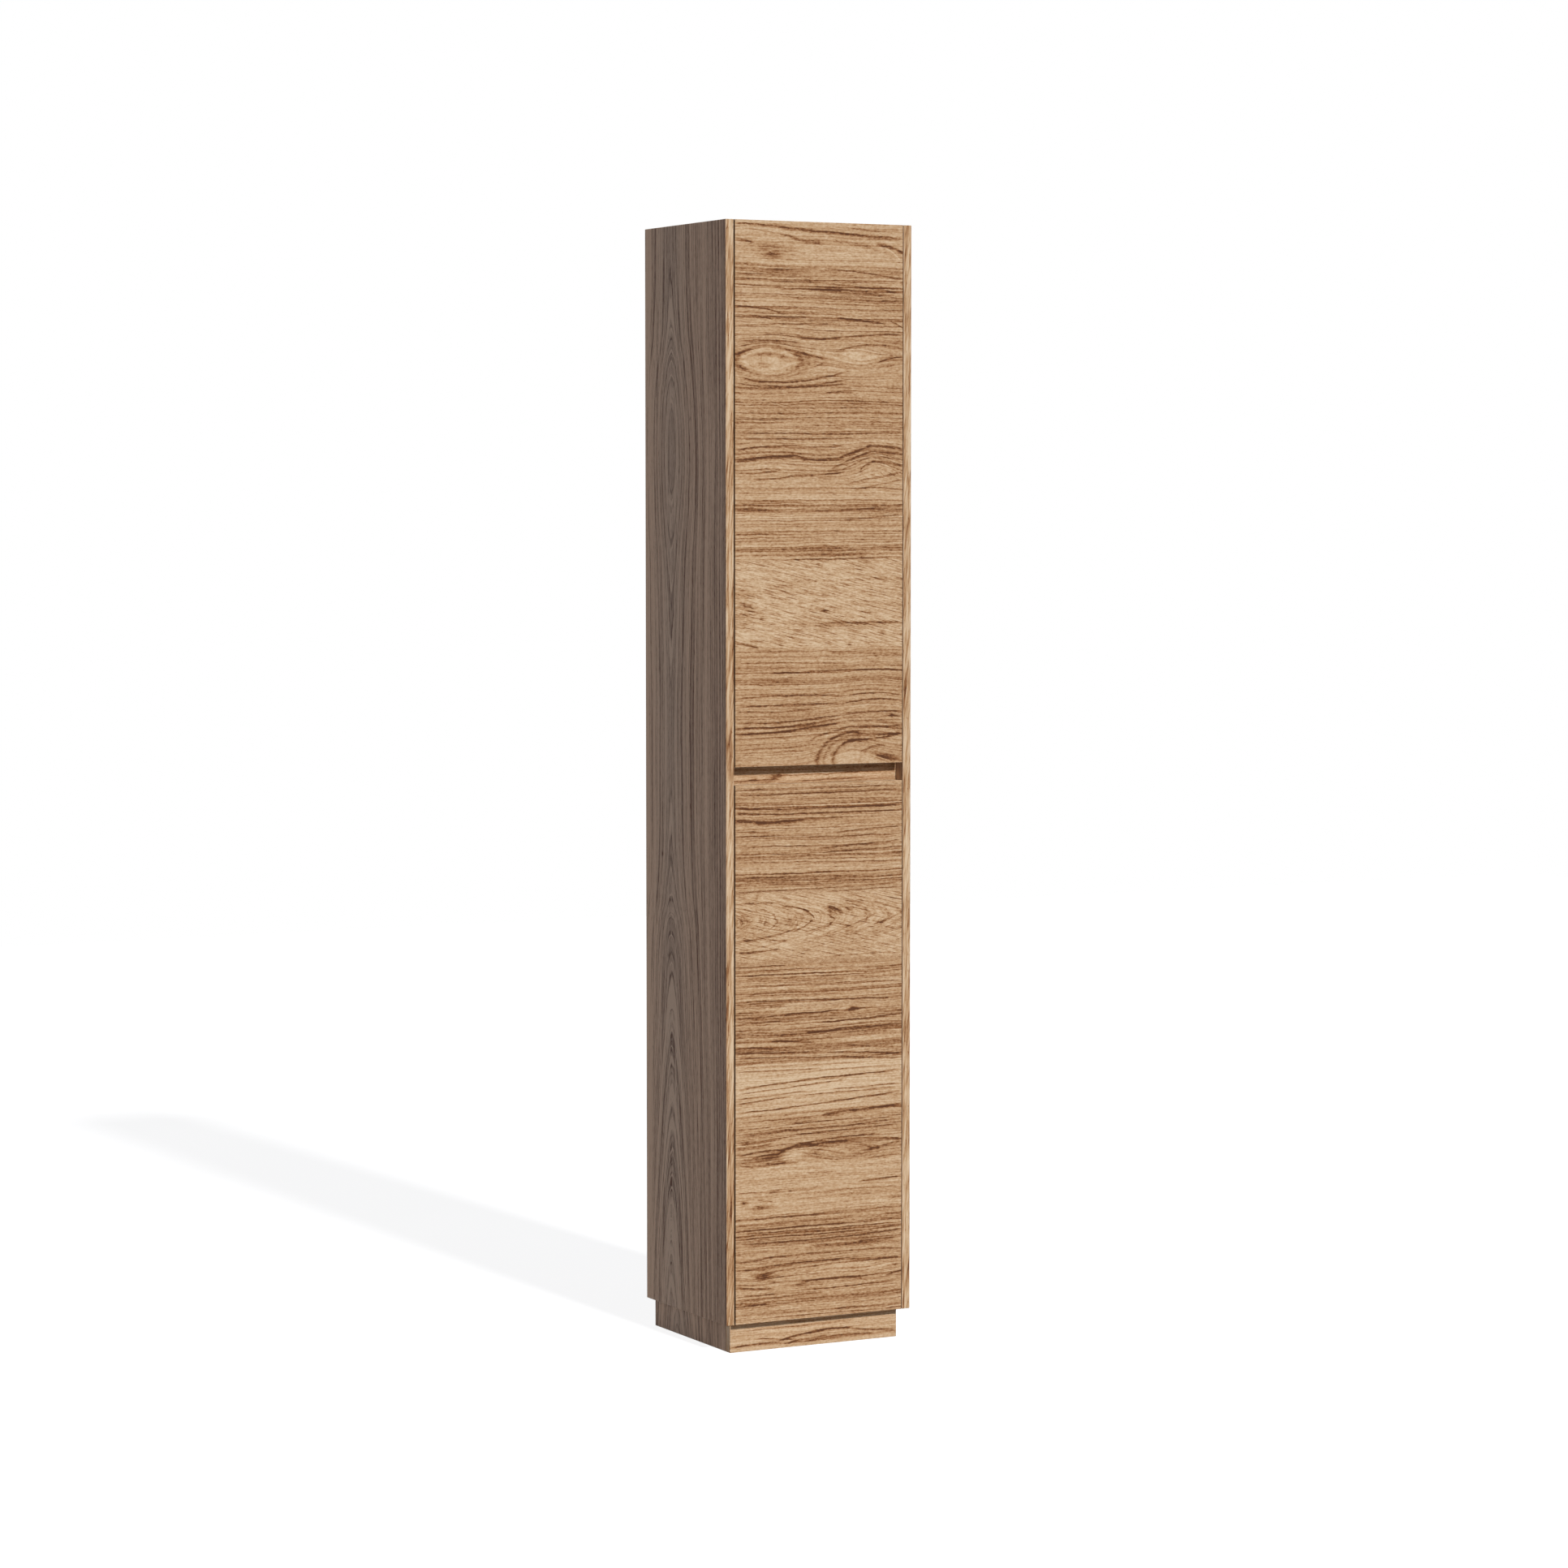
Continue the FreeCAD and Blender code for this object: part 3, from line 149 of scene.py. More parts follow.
LOWER_STROKES = (
    (-160, 943, 162, 943, 0, 1.0, 0.5), (-160, 933, 162, 935, 0, 1.0, 0.5),
    (-70, 924, 162, 921, 1, 1.0, 0.6), (-160, 911, -60, 908, 0, 1.2, 0.8),
    (-80, 908, 162, 909, 0, 1.3, 0.9), (-160, 904, -70, 900, 0, 1.2, 0.8),
    (-90, 900, 162, 901, -1, 1.4, 0.9), (-160, 890, -100, 888, 1, 1.8, 0.9),
    (-125, 887, -25, 890, -1, 2.4, 0.9), (-40, 890, 45, 891, 0, 1.2, 0.5),
    (-160, 873, -90, 870, 0, 1.3, 0.8), (-160, 866, -65, 863, 0, 1.0, 0.7),
    (30, 867, 162, 874, 0, 1.2, 0.8), (-30, 861, 115, 862, -1, 1.0, 0.6),
    (-160, 850, -10, 845, 0, 1.0, 0.6), (-10, 840, 162, 850, 0, 1.4, 0.7),
    (-160, 836, 0, 832, 0, 0.9, 0.6), (0, 833, 162, 839, 0, 1.1, 0.6), (-160, 822, 0, 819, 0, 0.9, 0.6),
    (-20, 819, 162, 815, 0, 0.9, 0.6), (-160, 797, 70, 793, 0, 1.3, 0.6),
    (-160, 790, 100, 786, 0, 1.2, 0.7), (-160, 772, 0, 774, 0, 1.0, 0.7),
    (-20, 774, 162, 777, 0, 1.2, 0.8), (10, 767, 162, 770, 1, 1.0, 0.7),
    (-160, 753, -75, 752, 1, 1.0, 0.6), (-72, 748, -22, 738, 2, 1.5, 0.7),
    (-32, 740, -8, 724, 3, 2.0, 0.9), (-50, 704, -10, 723, -3, 2.0, 0.8),
    (-160, 690, -40, 708, -3, 1.7, 0.6), (-100, 692, -60, 690, -1, 1.4, 0.7),
    (14, 743, 50, 730, 2, 1.4, 0.7), (0, 736, 32, 720, 2, 1.3, 0.6), (-30, 702, 30, 718, -2, 1.2, 0.5),
    (48, 752, 114, 732, 3, 1.1, 0.5), (-20, 688, 113, 729, -4, 1.3, 0.5),
    (70, 752, 156, 733, 2, 1.1, 0.5), (100, 708, 157, 727, -2, 1.4, 0.5),
    (-160, 672, -70, 675, -1, 1.4, 0.8), (15, 658, 162, 659, 2, 1.0, 0.6),
    (-160, 647, -60, 648, 0, 1.0, 0.7), (-160, 634, 162, 633, -1, 0.9, 0.6),
    (-160, 629, 162, 628, -2, 1.0, 0.6), (-160, 616, 162, 612, 0, 1.0, 0.7),
    (-160, 600, 60, 595, 0, 1.0, 0.6), (-160, 590, 162, 582, 1, 1.3, 0.9),
    (-160, 583, -60, 581, 0, 2.0, 0.7), (-160, 572, -80, 572, 0, 1.3, 0.7),
    (-160, 562, 38, 567, 0, 1.3, 0.8), (-160, 552, -70, 555, 0, 1.2, 0.6),
    (0, 549, 162, 555, -1, 1.5, 0.9), (-28, 535, 45, 536, -2, 2.0, 0.9),
    (30, 536, 162, 539, -1, 1.6, 0.8), (30, 527, 140, 530, 0, 1.4, 0.5), (-95, 521, -5, 514, 2, 1.8, 0.7),
    (-160, 514, -80, 508, 1, 1.3, 0.6), (-160, 506, 15, 498, -1, 1.6, 0.9),
    (0, 499, 162, 487, 1, 1.4, 0.9), (-160, 498, 60, 488, -1, 1.1, 0.7),
    (40, 489, 162, 481, -1, 1.4, 0.9), (48, 509, 150, 500, -2, 1.5, 0.5),
    (-160, 473, 10, 471, 0, 1.2, 1.0), (-160, 480, 90, 477, 0, 1.0, 0.7),
    (-120, 463, 162, 467, 2, 1.0, 0.6), (0, 451, 162, 462, 0, 1.0, 0.7),
    (-160, 443, 162, 458, 4, 1.3, 1.2), (-160, 436, 60, 450, 0, 1.1, 1.0),
    (-160, 428, -20, 434, 0, 1.1, 0.9), (-160, 419, -50, 427, 0, 1.1, 0.9),
    (20, 434, 162, 437, 0, 1.1, 0.9), (-40, 427, 162, 431, 0, 1.1, 0.8),
    (-160, 404, 162, 424, -2, 1.3, 1.2), (0, 391, 78, 397, 2, 2.0, 0.8),
    (55, 396, 162, 402, -1, 2.4, 0.9), (-160, 388, 0, 391, 0, 1.2, 0.5),
    (-70, 381, 110, 383, 0, 1.3, 0.6), (-160, 375, -90, 378, 0, 1.2, 0.6),
    (60, 376, 162, 384, -1, 1.2, 0.6), (-160, 363, 0, 371, 1, 1.3, 0.8),
    (-20, 370, 162, 377, -1, 1.3, 0.7), (-60, 361, 162, 367, 1, 1.4, 0.8),
    (-160, 355, -60, 359, -2, 1.4, 0.7), (-160, 346, -90, 349, -1, 1.8, 0.8),
    (-78, 336, -5, 343, 4, 2.4, 0.9), (-18, 342, 82, 348, 1, 2.3, 0.95), (70, 348, 162, 342, 1, 2.2, 0.8),
    (-62, 344, 120, 354, 2, 1.6, 0.8), (-105, 317, -38, 316, -1, 1.4, 0.7),
    (-155, 331, -64, 338, 3, 1.5, 0.8), (-150, 316, -62, 317, -3, 1.5, 0.7),
    (-130, 327, -70, 331, 2, 1.2, 0.8), (60, 322, 162, 340, 0, 1.8, 0.5),
    (90, 314, 162, 316, 0, 1.2, 0.6), (-160, 271, 10, 269, -2, 1.3, 0.6),
    (-25, 295, 30, 294, 0, 0.9, 0.6), (75, 275, 162, 279, 0, 1.3, 0.9),
    (-118, 258, -86, 251, 0, 1.4, 0.6), (-160, 226, 162, 221, 1, 1.0, 0.6),
    (-160, 207, 70, 206, 0, 1.2, 0.7), (-160, 202, 162, 200, -1, 1.2, 0.8),
    (-160, 193, 100, 191, 0, 1.5, 0.9), (90, 191, 162, 195, 0, 1.4, 0.7),
    (-160, 185, 162, 187, -3, 1.5, 0.9), (-25, 174, 162, 176, -3, 2.0, 0.8),
    (-160, 176, -20, 173, 0, 1.0, 0.4), (-155, 154, -40, 160, 1, 1.4, 0.7),
    (-50, 160, 162, 156, 1, 1.4, 0.7), (-160, 140, 60, 146, 2, 2.2, 0.8),
    (50, 145, 162, 140, -1, 2.6, 0.8), (-160, 113, -85, 106, -1, 1.6, 0.8),
    (-52, 110, 95, 111, 4, 2.2, 0.9), (128, 111, 162, 117, 0, 1.7, 0.8), (-145, 98, -78, 96, 0, 1.2, 0.7),
    (-30, 100, 162, 103, -2, 1.4, 0.7), (-160, 89, 20, 92, 0, 1.5, 0.5), (-146, 81, -95, 81, 0, 1.1, 0.6),
    (-160, 77, -70, 76, -1, 1.0, 0.6), (20, 62, 162, 60, 0, 1.4, 0.5),
)
LOWER_EYES = (
    (47, 329, 55, 11, 0.6, 0.65, 0.1, 0, 6.0), (62, 128, 86, 10, 0.7, 0.25, 0.25, 0, 9.0),
    (64, 568, 24, 8, 0.8, 0.0, 0.1, 0, 9.0),
)
LOWER_SWELLS = (
    (-40, 338, 70, 26, -6), (100, 335, 90, 40, 4), (60, 400, 120, 50, -4), (-120, 125, 40, 18, 5),
)
LOWER_SMUDGES = (
    (-60, 940, 120, 8, 0.0, 0.15), (-70, 887, 16, 4, 0.0, 0.5), (-123, 873, 8, 3, 0.0, 0.8),
    (95, 848, 85, 9, 0.05, 0.35), (150, 828, 18, 11, 0.0, 0.4), (-40, 795, 150, 7, 0.0, 0.4),
    (-130, 784, 40, 5, 0.0, -0.3), (-148, 723, 16, 9, 0.0, 1.4), (-140, 708, 26, 8, 0.15, 0.3),
    (-60, 728, 50, 18, 0.0, -0.15), (26, 738, 9, 5, -0.4, 1.2), (36, 733, 8, 4, -0.4, 1.1),
    (57, 736, 7, 3, 0.0, 1.4), (-117, 763, 5, 3, 0.0, 1.4), (-127, 754, 8, 2, 0.0, 0.7),
    (-58, 746, 7, 3, 0.0, 0.7), (-57, 723, 7, 3, 0.0, 0.6), (-100, 721, 5, 2, 0.0, 0.6),
    (120, 712, 8, 3, 0.2, 0.7), (56, 699, 7, 4, 0.0, 0.5), (20, 712, 4, 2, 0.0, 0.6),
    (-140, 676, 40, 8, 0.0, 0.35), (110, 662, 60, 6, 0.05, -0.3), (0, 646, 160, 6, 0.0, 0.25),
    (64, 568, 7, 4, 0.0, 2.2), (64, 568, 14, 3, 0.0, 0.5), (100, 568, 30, 3, 0.0, 0.35),
    (-20, 535, 150, 14, 0.0, 0.1), (-30, 521, 50, 6, -0.1, 0.35), (145, 512, 18, 8, 0.0, 0.35),
    (80, 519, 50, 4, 0.1, -0.3), (0, 440, 160, 34, 0.05, -0.35), (30, 393, 28, 4, 0.1, 0.4),
    (-60, 383, 120, 8, 0.0, 0.25), (-138, 353, 7, 3, 0.0, 0.8), (-70, 334, 10, 4, 0.3, 0.8),
    (-88, 327, 20, 8, 0.1, 1.3), (-74, 319, 12, 3, -0.1, 1.0), (-50, 326, 15, 7, 0.25, -1.0),
    (-62, 318, 14, 3, 0.3, 0.6), (-110, 325, 26, 7, 0.1, 0.65), (-142, 322, 18, 5, 0.15, 0.6),
    (80, 334, 30, 6, 0.1, 0.35), (-60, 292, 120, 16, 0.0, -0.15), (-85, 267, 12, 3, 0.0, 0.6),
    (-141, 253, 6, 4, 0.0, 1.8), (-110, 243, 19, 5, 0.1, 1.4), (150, 243, 16, 5, 0.0, 0.6),
    (80, 251, 85, 13, 0.0, 0.2), (-120, 250, 60, 14, 0.0, -0.15), (0, 215, 165, 13, 0.0, 0.1),
    (85, 173, 45, 4, 0.0, 0.4), (-105, 127, 16, 6, 0.0, 1.5), (-78, 125, 30, 6, 0.0, 0.4),
    (-88, 117, 10, 2, 0.0, 0.7), (-90, 110, 30, 5, 0.0, -0.3), (0, 70, 160, 14, 0.0, 0.12),
)
LOWER_STAVES = (
    (890, 950, 0.03, 1.0, 0.2), (768, 890, 0.0, 1.0, 0.2), (655, 768, -0.15, 0.15, 1.7),
    (484, 655, 0.03, 1.0, 0.3), (398, 484, -0.12, 0.6, 0.1), (316, 398, 0.03, 0.8, 0.3),
    (230, 316, -0.05, 0.6, 0.4), (164, 230, 0.01, 1.0, 0.3), (50, 164, 0.02, 0.9, 0.4),
)
# The V-shaped lines of one stave: its lowest and highest place, the height of their points, how close they
# follow each other and how blunt they are.
LOWER_CHEVRONS = (655, 768, 724, 0.28, 0.075)

RAIL_STROKES = (
    (-160, 953, -60, 957, 1, 1.2, 0.7), (-90, 962, 160, 966, 0, 1.0, 0.6),
    (-40, 952, 100, 956, 1, 1.2, 0.6),
)
RAIL_SMUDGES = (
    (-70, 960, 14, 5, 0.3, 1.6), (-110, 958, 8, 3, 0.0, 1.3), (70, 966, 12, 4, 0.0, 1.0),
    (0, 964, 60, 5, 0.0, -0.3),
)
RAIL_STAVES = ((900, 1000, -0.04, 0.8, 0.4),)

PLINTH_STROKES = (
    (-160, 34, 80, 37, 0, 1.1, 0.6), (-70, 12, 20, 24, 2, 1.9, 1.1), (10, 24, 76, 22, 2, 2.0, 1.1),
    (70, 22, 160, 14, -2, 1.6, 0.9), (-160, 8, -60, 10, 2, 1.7, 0.9), (-110, 20, -30, 12, 0, 1.4, 0.8),
    (-20, 8, 120, 10, 3, 1.6, 0.8), (-60, 6, 30, 14, 2, 1.4, 0.8),
)
PLINTH_SMUDGES = (
    (20, 24, 20, 4, 0.0, 0.5), (-120, 40, 50, 6, 0.0, -0.2),
)
PLINTH_STAVES = ((-10, 60, -0.08, 0.6, 0.3),)

# How far the growth lines of the left panel have climbed at each height: a rise bends them into arches that
# point up, and a fall into arches that point down.
LEFT_CLIMBS = (
    (0, 0), (80, 14), (320, 78), (430, 104), (570, 136), (640, 150), (700, 166), (780, 190), (950, 200),
    (1100, 200), (1200, 196), (1300, 190), (1430, 172), (1500, 166), (1560, 170), (1640, 188),
    (1720, 208), (1880, 216),
)
# Smudges of the left panel, its middle given from front to back and up. The last is a painted highlight: a
# pale strip down the whole height of the panel near its back edge.
LEFT_SPOTS_AND_PAINTED_HIGHLIGHT = (
    (-20, 908, 3, 4, 0.0, 0.8), (86, 821, 2.5, 3, 0.0, 0.7), (-20, 1557, 2, 3, 0.0, 0.5),
    (65, 650, 3, 3, 0.0, 0.4), (140, 940, 20, 2000, 0.0, -0.6),
)

# The plainer boards: the axes along the grain, across it and out of the face, where the heart of the log
# lies across the board, None for its middle, and where along the grain the pattern starts.
PLAIN_BOARDS = {
    "side_panel_left": ("ZYX", 52.0, 40.0),
    "side_panel_right": ("ZYX", -35.0, 5000.0),
    "top_panel": ("XYZ", -60.0, 900.0),
    "bottom_panel": ("XYZ", -35.0, 1600.0),
    "fixed_shelf": ("XYZ", -10.0, 2300.0),
    "upper_shelf_1": ("XYZ", 15.0, 3000.0),
    "upper_shelf_2": ("XYZ", 40.0, 3700.0),
    "lower_shelf_1": ("XYZ", 65.0, 4400.0),
    "lower_shelf_2": ("XYZ", 90.0, 5100.0),
    "back_panel": ("ZXY", 30.0, 9000.0),
    "upper_back_rail": ("XZY", None, 12000.0),
    "lower_back_rail": ("XZY", None, 12800.0),
    "plinth_back": ("XZY", None, 13600.0),
    "plinth_left": ("ZYX", 60.0, 15000.0),
    "plinth_right": ("ZYX", 60.0, 15800.0),
}

# Noises of the front boards: the lengths of their lumps in millimetres, their detail and their roughness.
FRONT_NOISE = {
    "slow": ((190.0, 40.0, 60.0), 2.0, 0.5),
    "quick": ((30.0, 20.0, 10.0), 3.0, 0.55),
    "ragged": ((7.0, 7.0, 5.0), 3.0, 0.6),
    "come_and_go": ((85.0, 20.0, 7.0), 2.0, 0.5),
    "fibres": ((48.0, 10.0, 1.8), 3.0, 0.65),
    "grit": ((5.5, 5.5, 2.9), 2.0, 0.6),
    "bars": ((130.0, 14.0, 2.7), 2.0, 0.6),
    "pores": ((12.0, 3.0, 1.9), 2.0, 0.6),
    "flecks": ((26.0, 6.0, 2.3), 4.0, 0.68),
    "broad": ((140.0, 40.0, 24.0), 3.0, 0.5),
    "broken": ((16.0, 6.0, 2.2), 3.0, 0.65),
    "relief": ((9.0, 3.0, 1.0), 2.0, 0.6),
}
# Smooth steps: where a value starts and ends, and the low and high results, where these aren't 0 and 1.
FRONT_EASE = {
    "come_and_go": (0.36, 0.62, 0.4, 1.0), "pores": (0.55, 0.7), "flecks": (0.42, 0.72),
    "calm": (0.5, 1.4, 1.0, 0.5), "broken": (0.25, 0.6, 0.6, 1.2), "smudges": (0.3, 0.66, 0.5, 1.25),
    "roughness": (0.1, 0.9, 0.46, 0.62),
}
# How far waves move a place, in millimetres, and how much each figure darkens the wood.
FRONT_WEIGHT = {
    "slow": 5.0, "quick": 2.0, "ragged": 5.0, "base": 0.25, "broad": 0.13, "lines": 0.42, "fine_lines": 0.8,
    "fibres": 0.33, "grit": 0.425, "bars": 0.25, "pores": 0.24, "flecks": 0.4, "strokes": 0.6,
    "smudges": 0.33, "rims": 0.36, "pales": -0.22,
}
# Fine lines: their spacing as a share of the common one, where their noise starts and how far they fade.
FINE_SPACING = 0.42
FINE_START = 7.0
FINE_FADE = 1.4
# How flecks slant across and up, soft ends in millimetres, and the wave and line amount of the chevrons.
FLECK_SLANT = (1.6, 0.22)
STAVE_SOFT = 5.0
CHEVRON_SOFT = 7.0
CHEVRON_WAVE = 7.0
CHEVRON_LINES = 0.35
# A growth line lies where its noise is this near to the middle.
LINE_NEAR = 0.07

# Noises, steps and weights of the plainer boards. Lengths are along the grain, across it and into the board.
HEART_NOISE = {
    "drift": ((420.0, 200.0, 60.0), 1.0, 0.5),
    "quick": ((50.0, 9.0, 20.0), 3.0, 0.55),
    "come_and_go": ((160.0, 6.0, 20.0), 2.0, 0.5),
    "straight": ((900.0, 7.0, 30.0), 3.0, 0.6),
    "threads": ((240.0, 3.4, 9.0), 2.0, 0.6),
    "fibres": ((15.0, 2.6, 6.0), 3.0, 0.65),
    "pores": ((13.0, 2.6, 5.0), 2.0, 0.6),
}
HEART_EASE = {
    "come_and_go": (0.35, 0.62, 0.3, 1.0), "pores": (0.56, 0.7), "roughness": (0.1, 0.9, 0.48, 0.62),
}
HEART_WEIGHT = {
    "drift": 9.0, "quick": 1.6, "wander": 16.0, "base": 0.29, "lines": 0.66, "pale_lines": -0.85,
    "bands": 0.4, "straight": 0.44, "threads": 0.5, "fibres": 0.5, "pores": 0.26, "tint": 0.9,
}
# Noises along one value: their spacing in millimetres, and their start as a share of the seed and a rest.
HEART_LINES = {
    "wander": (330.0, 0.013, 0.0), "lines": (10.0, 0.1, 0.0), "pale_lines": (12.0, 0.1, 31.0),
    "bands": (15.0, 0.2, 0.0),
}
# Squared distances from the heart: where the arches get round, how far they reach and how far the tint does.
HEART_ROUND = 260.0
HEART_REACH = 12000.0
TINT_REACH = 2500.0
# The drawn climb counts from here. Other boards climb by a share of their length, up to a most.
CLIMB_ZERO = 190.0
RISE_SHARE = 0.09
MOST_RISE = 55.0
# The boards inside have less contrast about a middle tone than the sides.
INNER_CONTRAST = 0.7
INNER_MIDDLE = 0.4

# Noises, steps and weights of the bands on the edges of boards, and the measures of their streaks.
BAND_NOISE = {"flecks": ((2.2, 2.2, 7.0), 2.0, 0.6), "tone": ((12.0, 12.0, 90.0), 2.0, 0.5)}
BAND_EASE = {"flecks": (0.6, 0.72)}
BAND_WEIGHT = {"streaks": 1.9, "base": -1.56, "flecks": 0.3, "tone": 0.3}
STREAK_WIDTH = 2.8
STREAK_LEAN = -0.13
STRAIGHT_LENGTH = 90.0
LEANING_LENGTH = 45.0
# How far a surface looks along an axis to count as a face or an edge.
FACE_LEAST = 0.6
EDGE_LEAST = 0.5

# A stroke is crisper on its upper side, and tapers near its ends.
STROKE_CRISP = 1.05
STROKE_SIDES = 0.35
STROKE_TAPER = 9.0
# An eye is a round form with some of a leaf's points, and a fainter ring lies outside its rim. Its push
# fades outward, an open rim ends right of its middle, and its pale inside starts within the rim.
EYE_LEAF = 0.3
EYE_SPREAD = 0.5
RING_PLACE = 1.5
RING_SHARE = 0.6
OPEN_EASE = (-0.1, 0.5)
PALE_EASE = (0.95, 0.55)

# A screw, as shares of the radius and height of its head, and of the radius and length of its shank.
HEAD_LEAST = 0.9
RECESS_CELL = 0.13
RECESS_DEPTH = 0.62
RECESS_TAPER = (0.75, 0.75, 1.0)
HEAD_RINGS = ((0.74, 0.97), (0.88, 0.84), (0.97, 0.55), (1.0, 0.25), (1.0, 0.0))
THREAD_TURNS = 7
THREAD_CREST = 0.3
THREAD_ROOT = 0.65
ROOT_RADIUS = 0.76
TIP_RADIUS = 0.2

SLOT_OF = {item["node"]: item["material_slot"] for item in frame["record"]["subparts"]}
BODY_OF = {node: body for body, nodes in frame["record"]["behaviour"]["bodies"].items() for node in nodes}
SHARP = math.radians(35.0)
FLAT = math.radians(1.0)
WELD = 0.000001
MILLIMETRE = 0.001
SENSOR_WIDTH = 36.0
WHITE = (1.0, 1.0, 1.0, 1.0)


def colour(name, description, default):
    """A colour setting."""
    return FloatVectorProperty(
        name=name, description=description, default=default, size=len(default), subtype="COLOR")


def angle(name, description, degrees):
    """An angle setting."""
    return FloatProperty(name=name, description=description, default=math.radians(degrees), subtype="ANGLE")


class CabinetDecor(bpy.types.PropertyGroup):
    """Colours and measures of the wood decor."""

    front_light: colour("Front light", "Pale early wood of the doors", (0.705, 0.528, 0.350))
    front_middle: colour("Front middle", "Common tone of the doors", (0.500, 0.302, 0.158))
    front_line: colour("Front line", "Growth lines of the doors", (0.250, 0.103, 0.038))
    front_knot: colour("Front knot", "Darkest part of a knot", (0.105, 0.040, 0.017))
    # The side colours are the doors' wood made darker and greyer. This is partly the wood's own tone and
    # partly painted shade and cool fill light of the shaded side, and these colours dress every plain board.
    side_light_with_painted_shade: colour("Side light", "Pale wood of the side panels", (0.620, 0.414, 0.277))
    side_middle_with_painted_shade: colour("Side middle", "Common tone of the side panels", (0.400, 0.255, 0.171))
    side_line_with_painted_shade: colour("Side line", "Growth lines of the side panels", (0.196, 0.122, 0.084))
    heart_tint: colour("Heart tint", "Greyer cast of plain boards near the heart", (0.90, 0.95, 1.0, 1.0))
    line_spacing: FloatProperty(
        name="Line spacing", description="Common distance between growth lines, in millimetres", default=9.0,
        min=2.0)
    relief: FloatProperty(
        name="Relief", description="Depth of the pores and lines in the surface", default=0.00012,
        subtype="DISTANCE", unit="LENGTH")


class CabinetHardware(bpy.types.PropertyGroup):
    """Colours of the hardware."""

    nickel: colour("Nickel", "Plated hinges and shelf pins", (0.62, 0.60, 0.57))
    steel: colour("Steel", "Screws, bolts and strike plates", (0.56, 0.56, 0.55))
    zinc: colour("Zinc", "Cast cam locks", (0.50, 0.50, 0.49))
    plastic: colour("Plastic", "Catch housings", (0.30, 0.20, 0.12))
    magnet: colour("Magnet", "Sintered magnets", (0.06, 0.06, 0.065))
    rubber: colour("Rubber", "Door bumpers", (0.70, 0.69, 0.66))
    beech: colour("Beech", "Dowels and corner blocks", (0.62, 0.43, 0.26))


class CabinetStage(bpy.types.PropertyGroup):
    """Camera, floor and light."""

    camera_place: FloatVectorProperty(
        name="Camera place", description="Where the camera stands", subtype="TRANSLATION",
        default=(-3.4208, -6.4842, 1.3967))
    camera_tilt: angle("Camera tilt", "Turn of the camera from straight down", 86.434)
    camera_turn: angle("Camera turn", "Turn of the camera about the upright axis", -27.903)
    lens: FloatProperty(
        name="Lens", description="Focal length on a 36 mm sensor", default=99.23, subtype="DISTANCE_CAMERA")
    key_height: angle("Key height", "Elevation of the key light", 32.0)
    key_turn: angle("Key turn", "Turn of the key light from straight ahead", 2.0)
    key_spread: angle("Key spread", "Angle that the key light fills", 4.0)
    key_strength: FloatProperty(
        name="Key strength", description="Strength of the key light", default=2.94, min=0.0)
    fill_height: angle("Fill height", "Elevation of the soft lights", 16.0)
    left_fill: angle("Left fill", "Turn of the left soft light from straight ahead", -122.0)
    back_fill: angle("Back fill", "Turn of the back soft light from straight ahead", 145.0)
    fill_spread: angle("Fill spread", "Angle that each soft light fills", 45.0)
    fill_strength: FloatProperty(
        name="Fill strength", description="Strength of the soft lights", default=0.38, min=0.0)
    fill_colour: colour("Fill colour", "Colour of the soft lights", (0.90, 0.96, 1.16))
    ambient: colour("Ambient", "Light from all around", (0.125, 0.125, 0.13))
    floor_size: FloatProperty(
        name="Floor size", description="Width of the floor", default=14.0, subtype="DISTANCE", unit="LENGTH")
    floor_glow: FloatProperty(
        name="Floor glow", description="Light that turns the lit floor white for the camera", default=0.86,
        min=0.0)


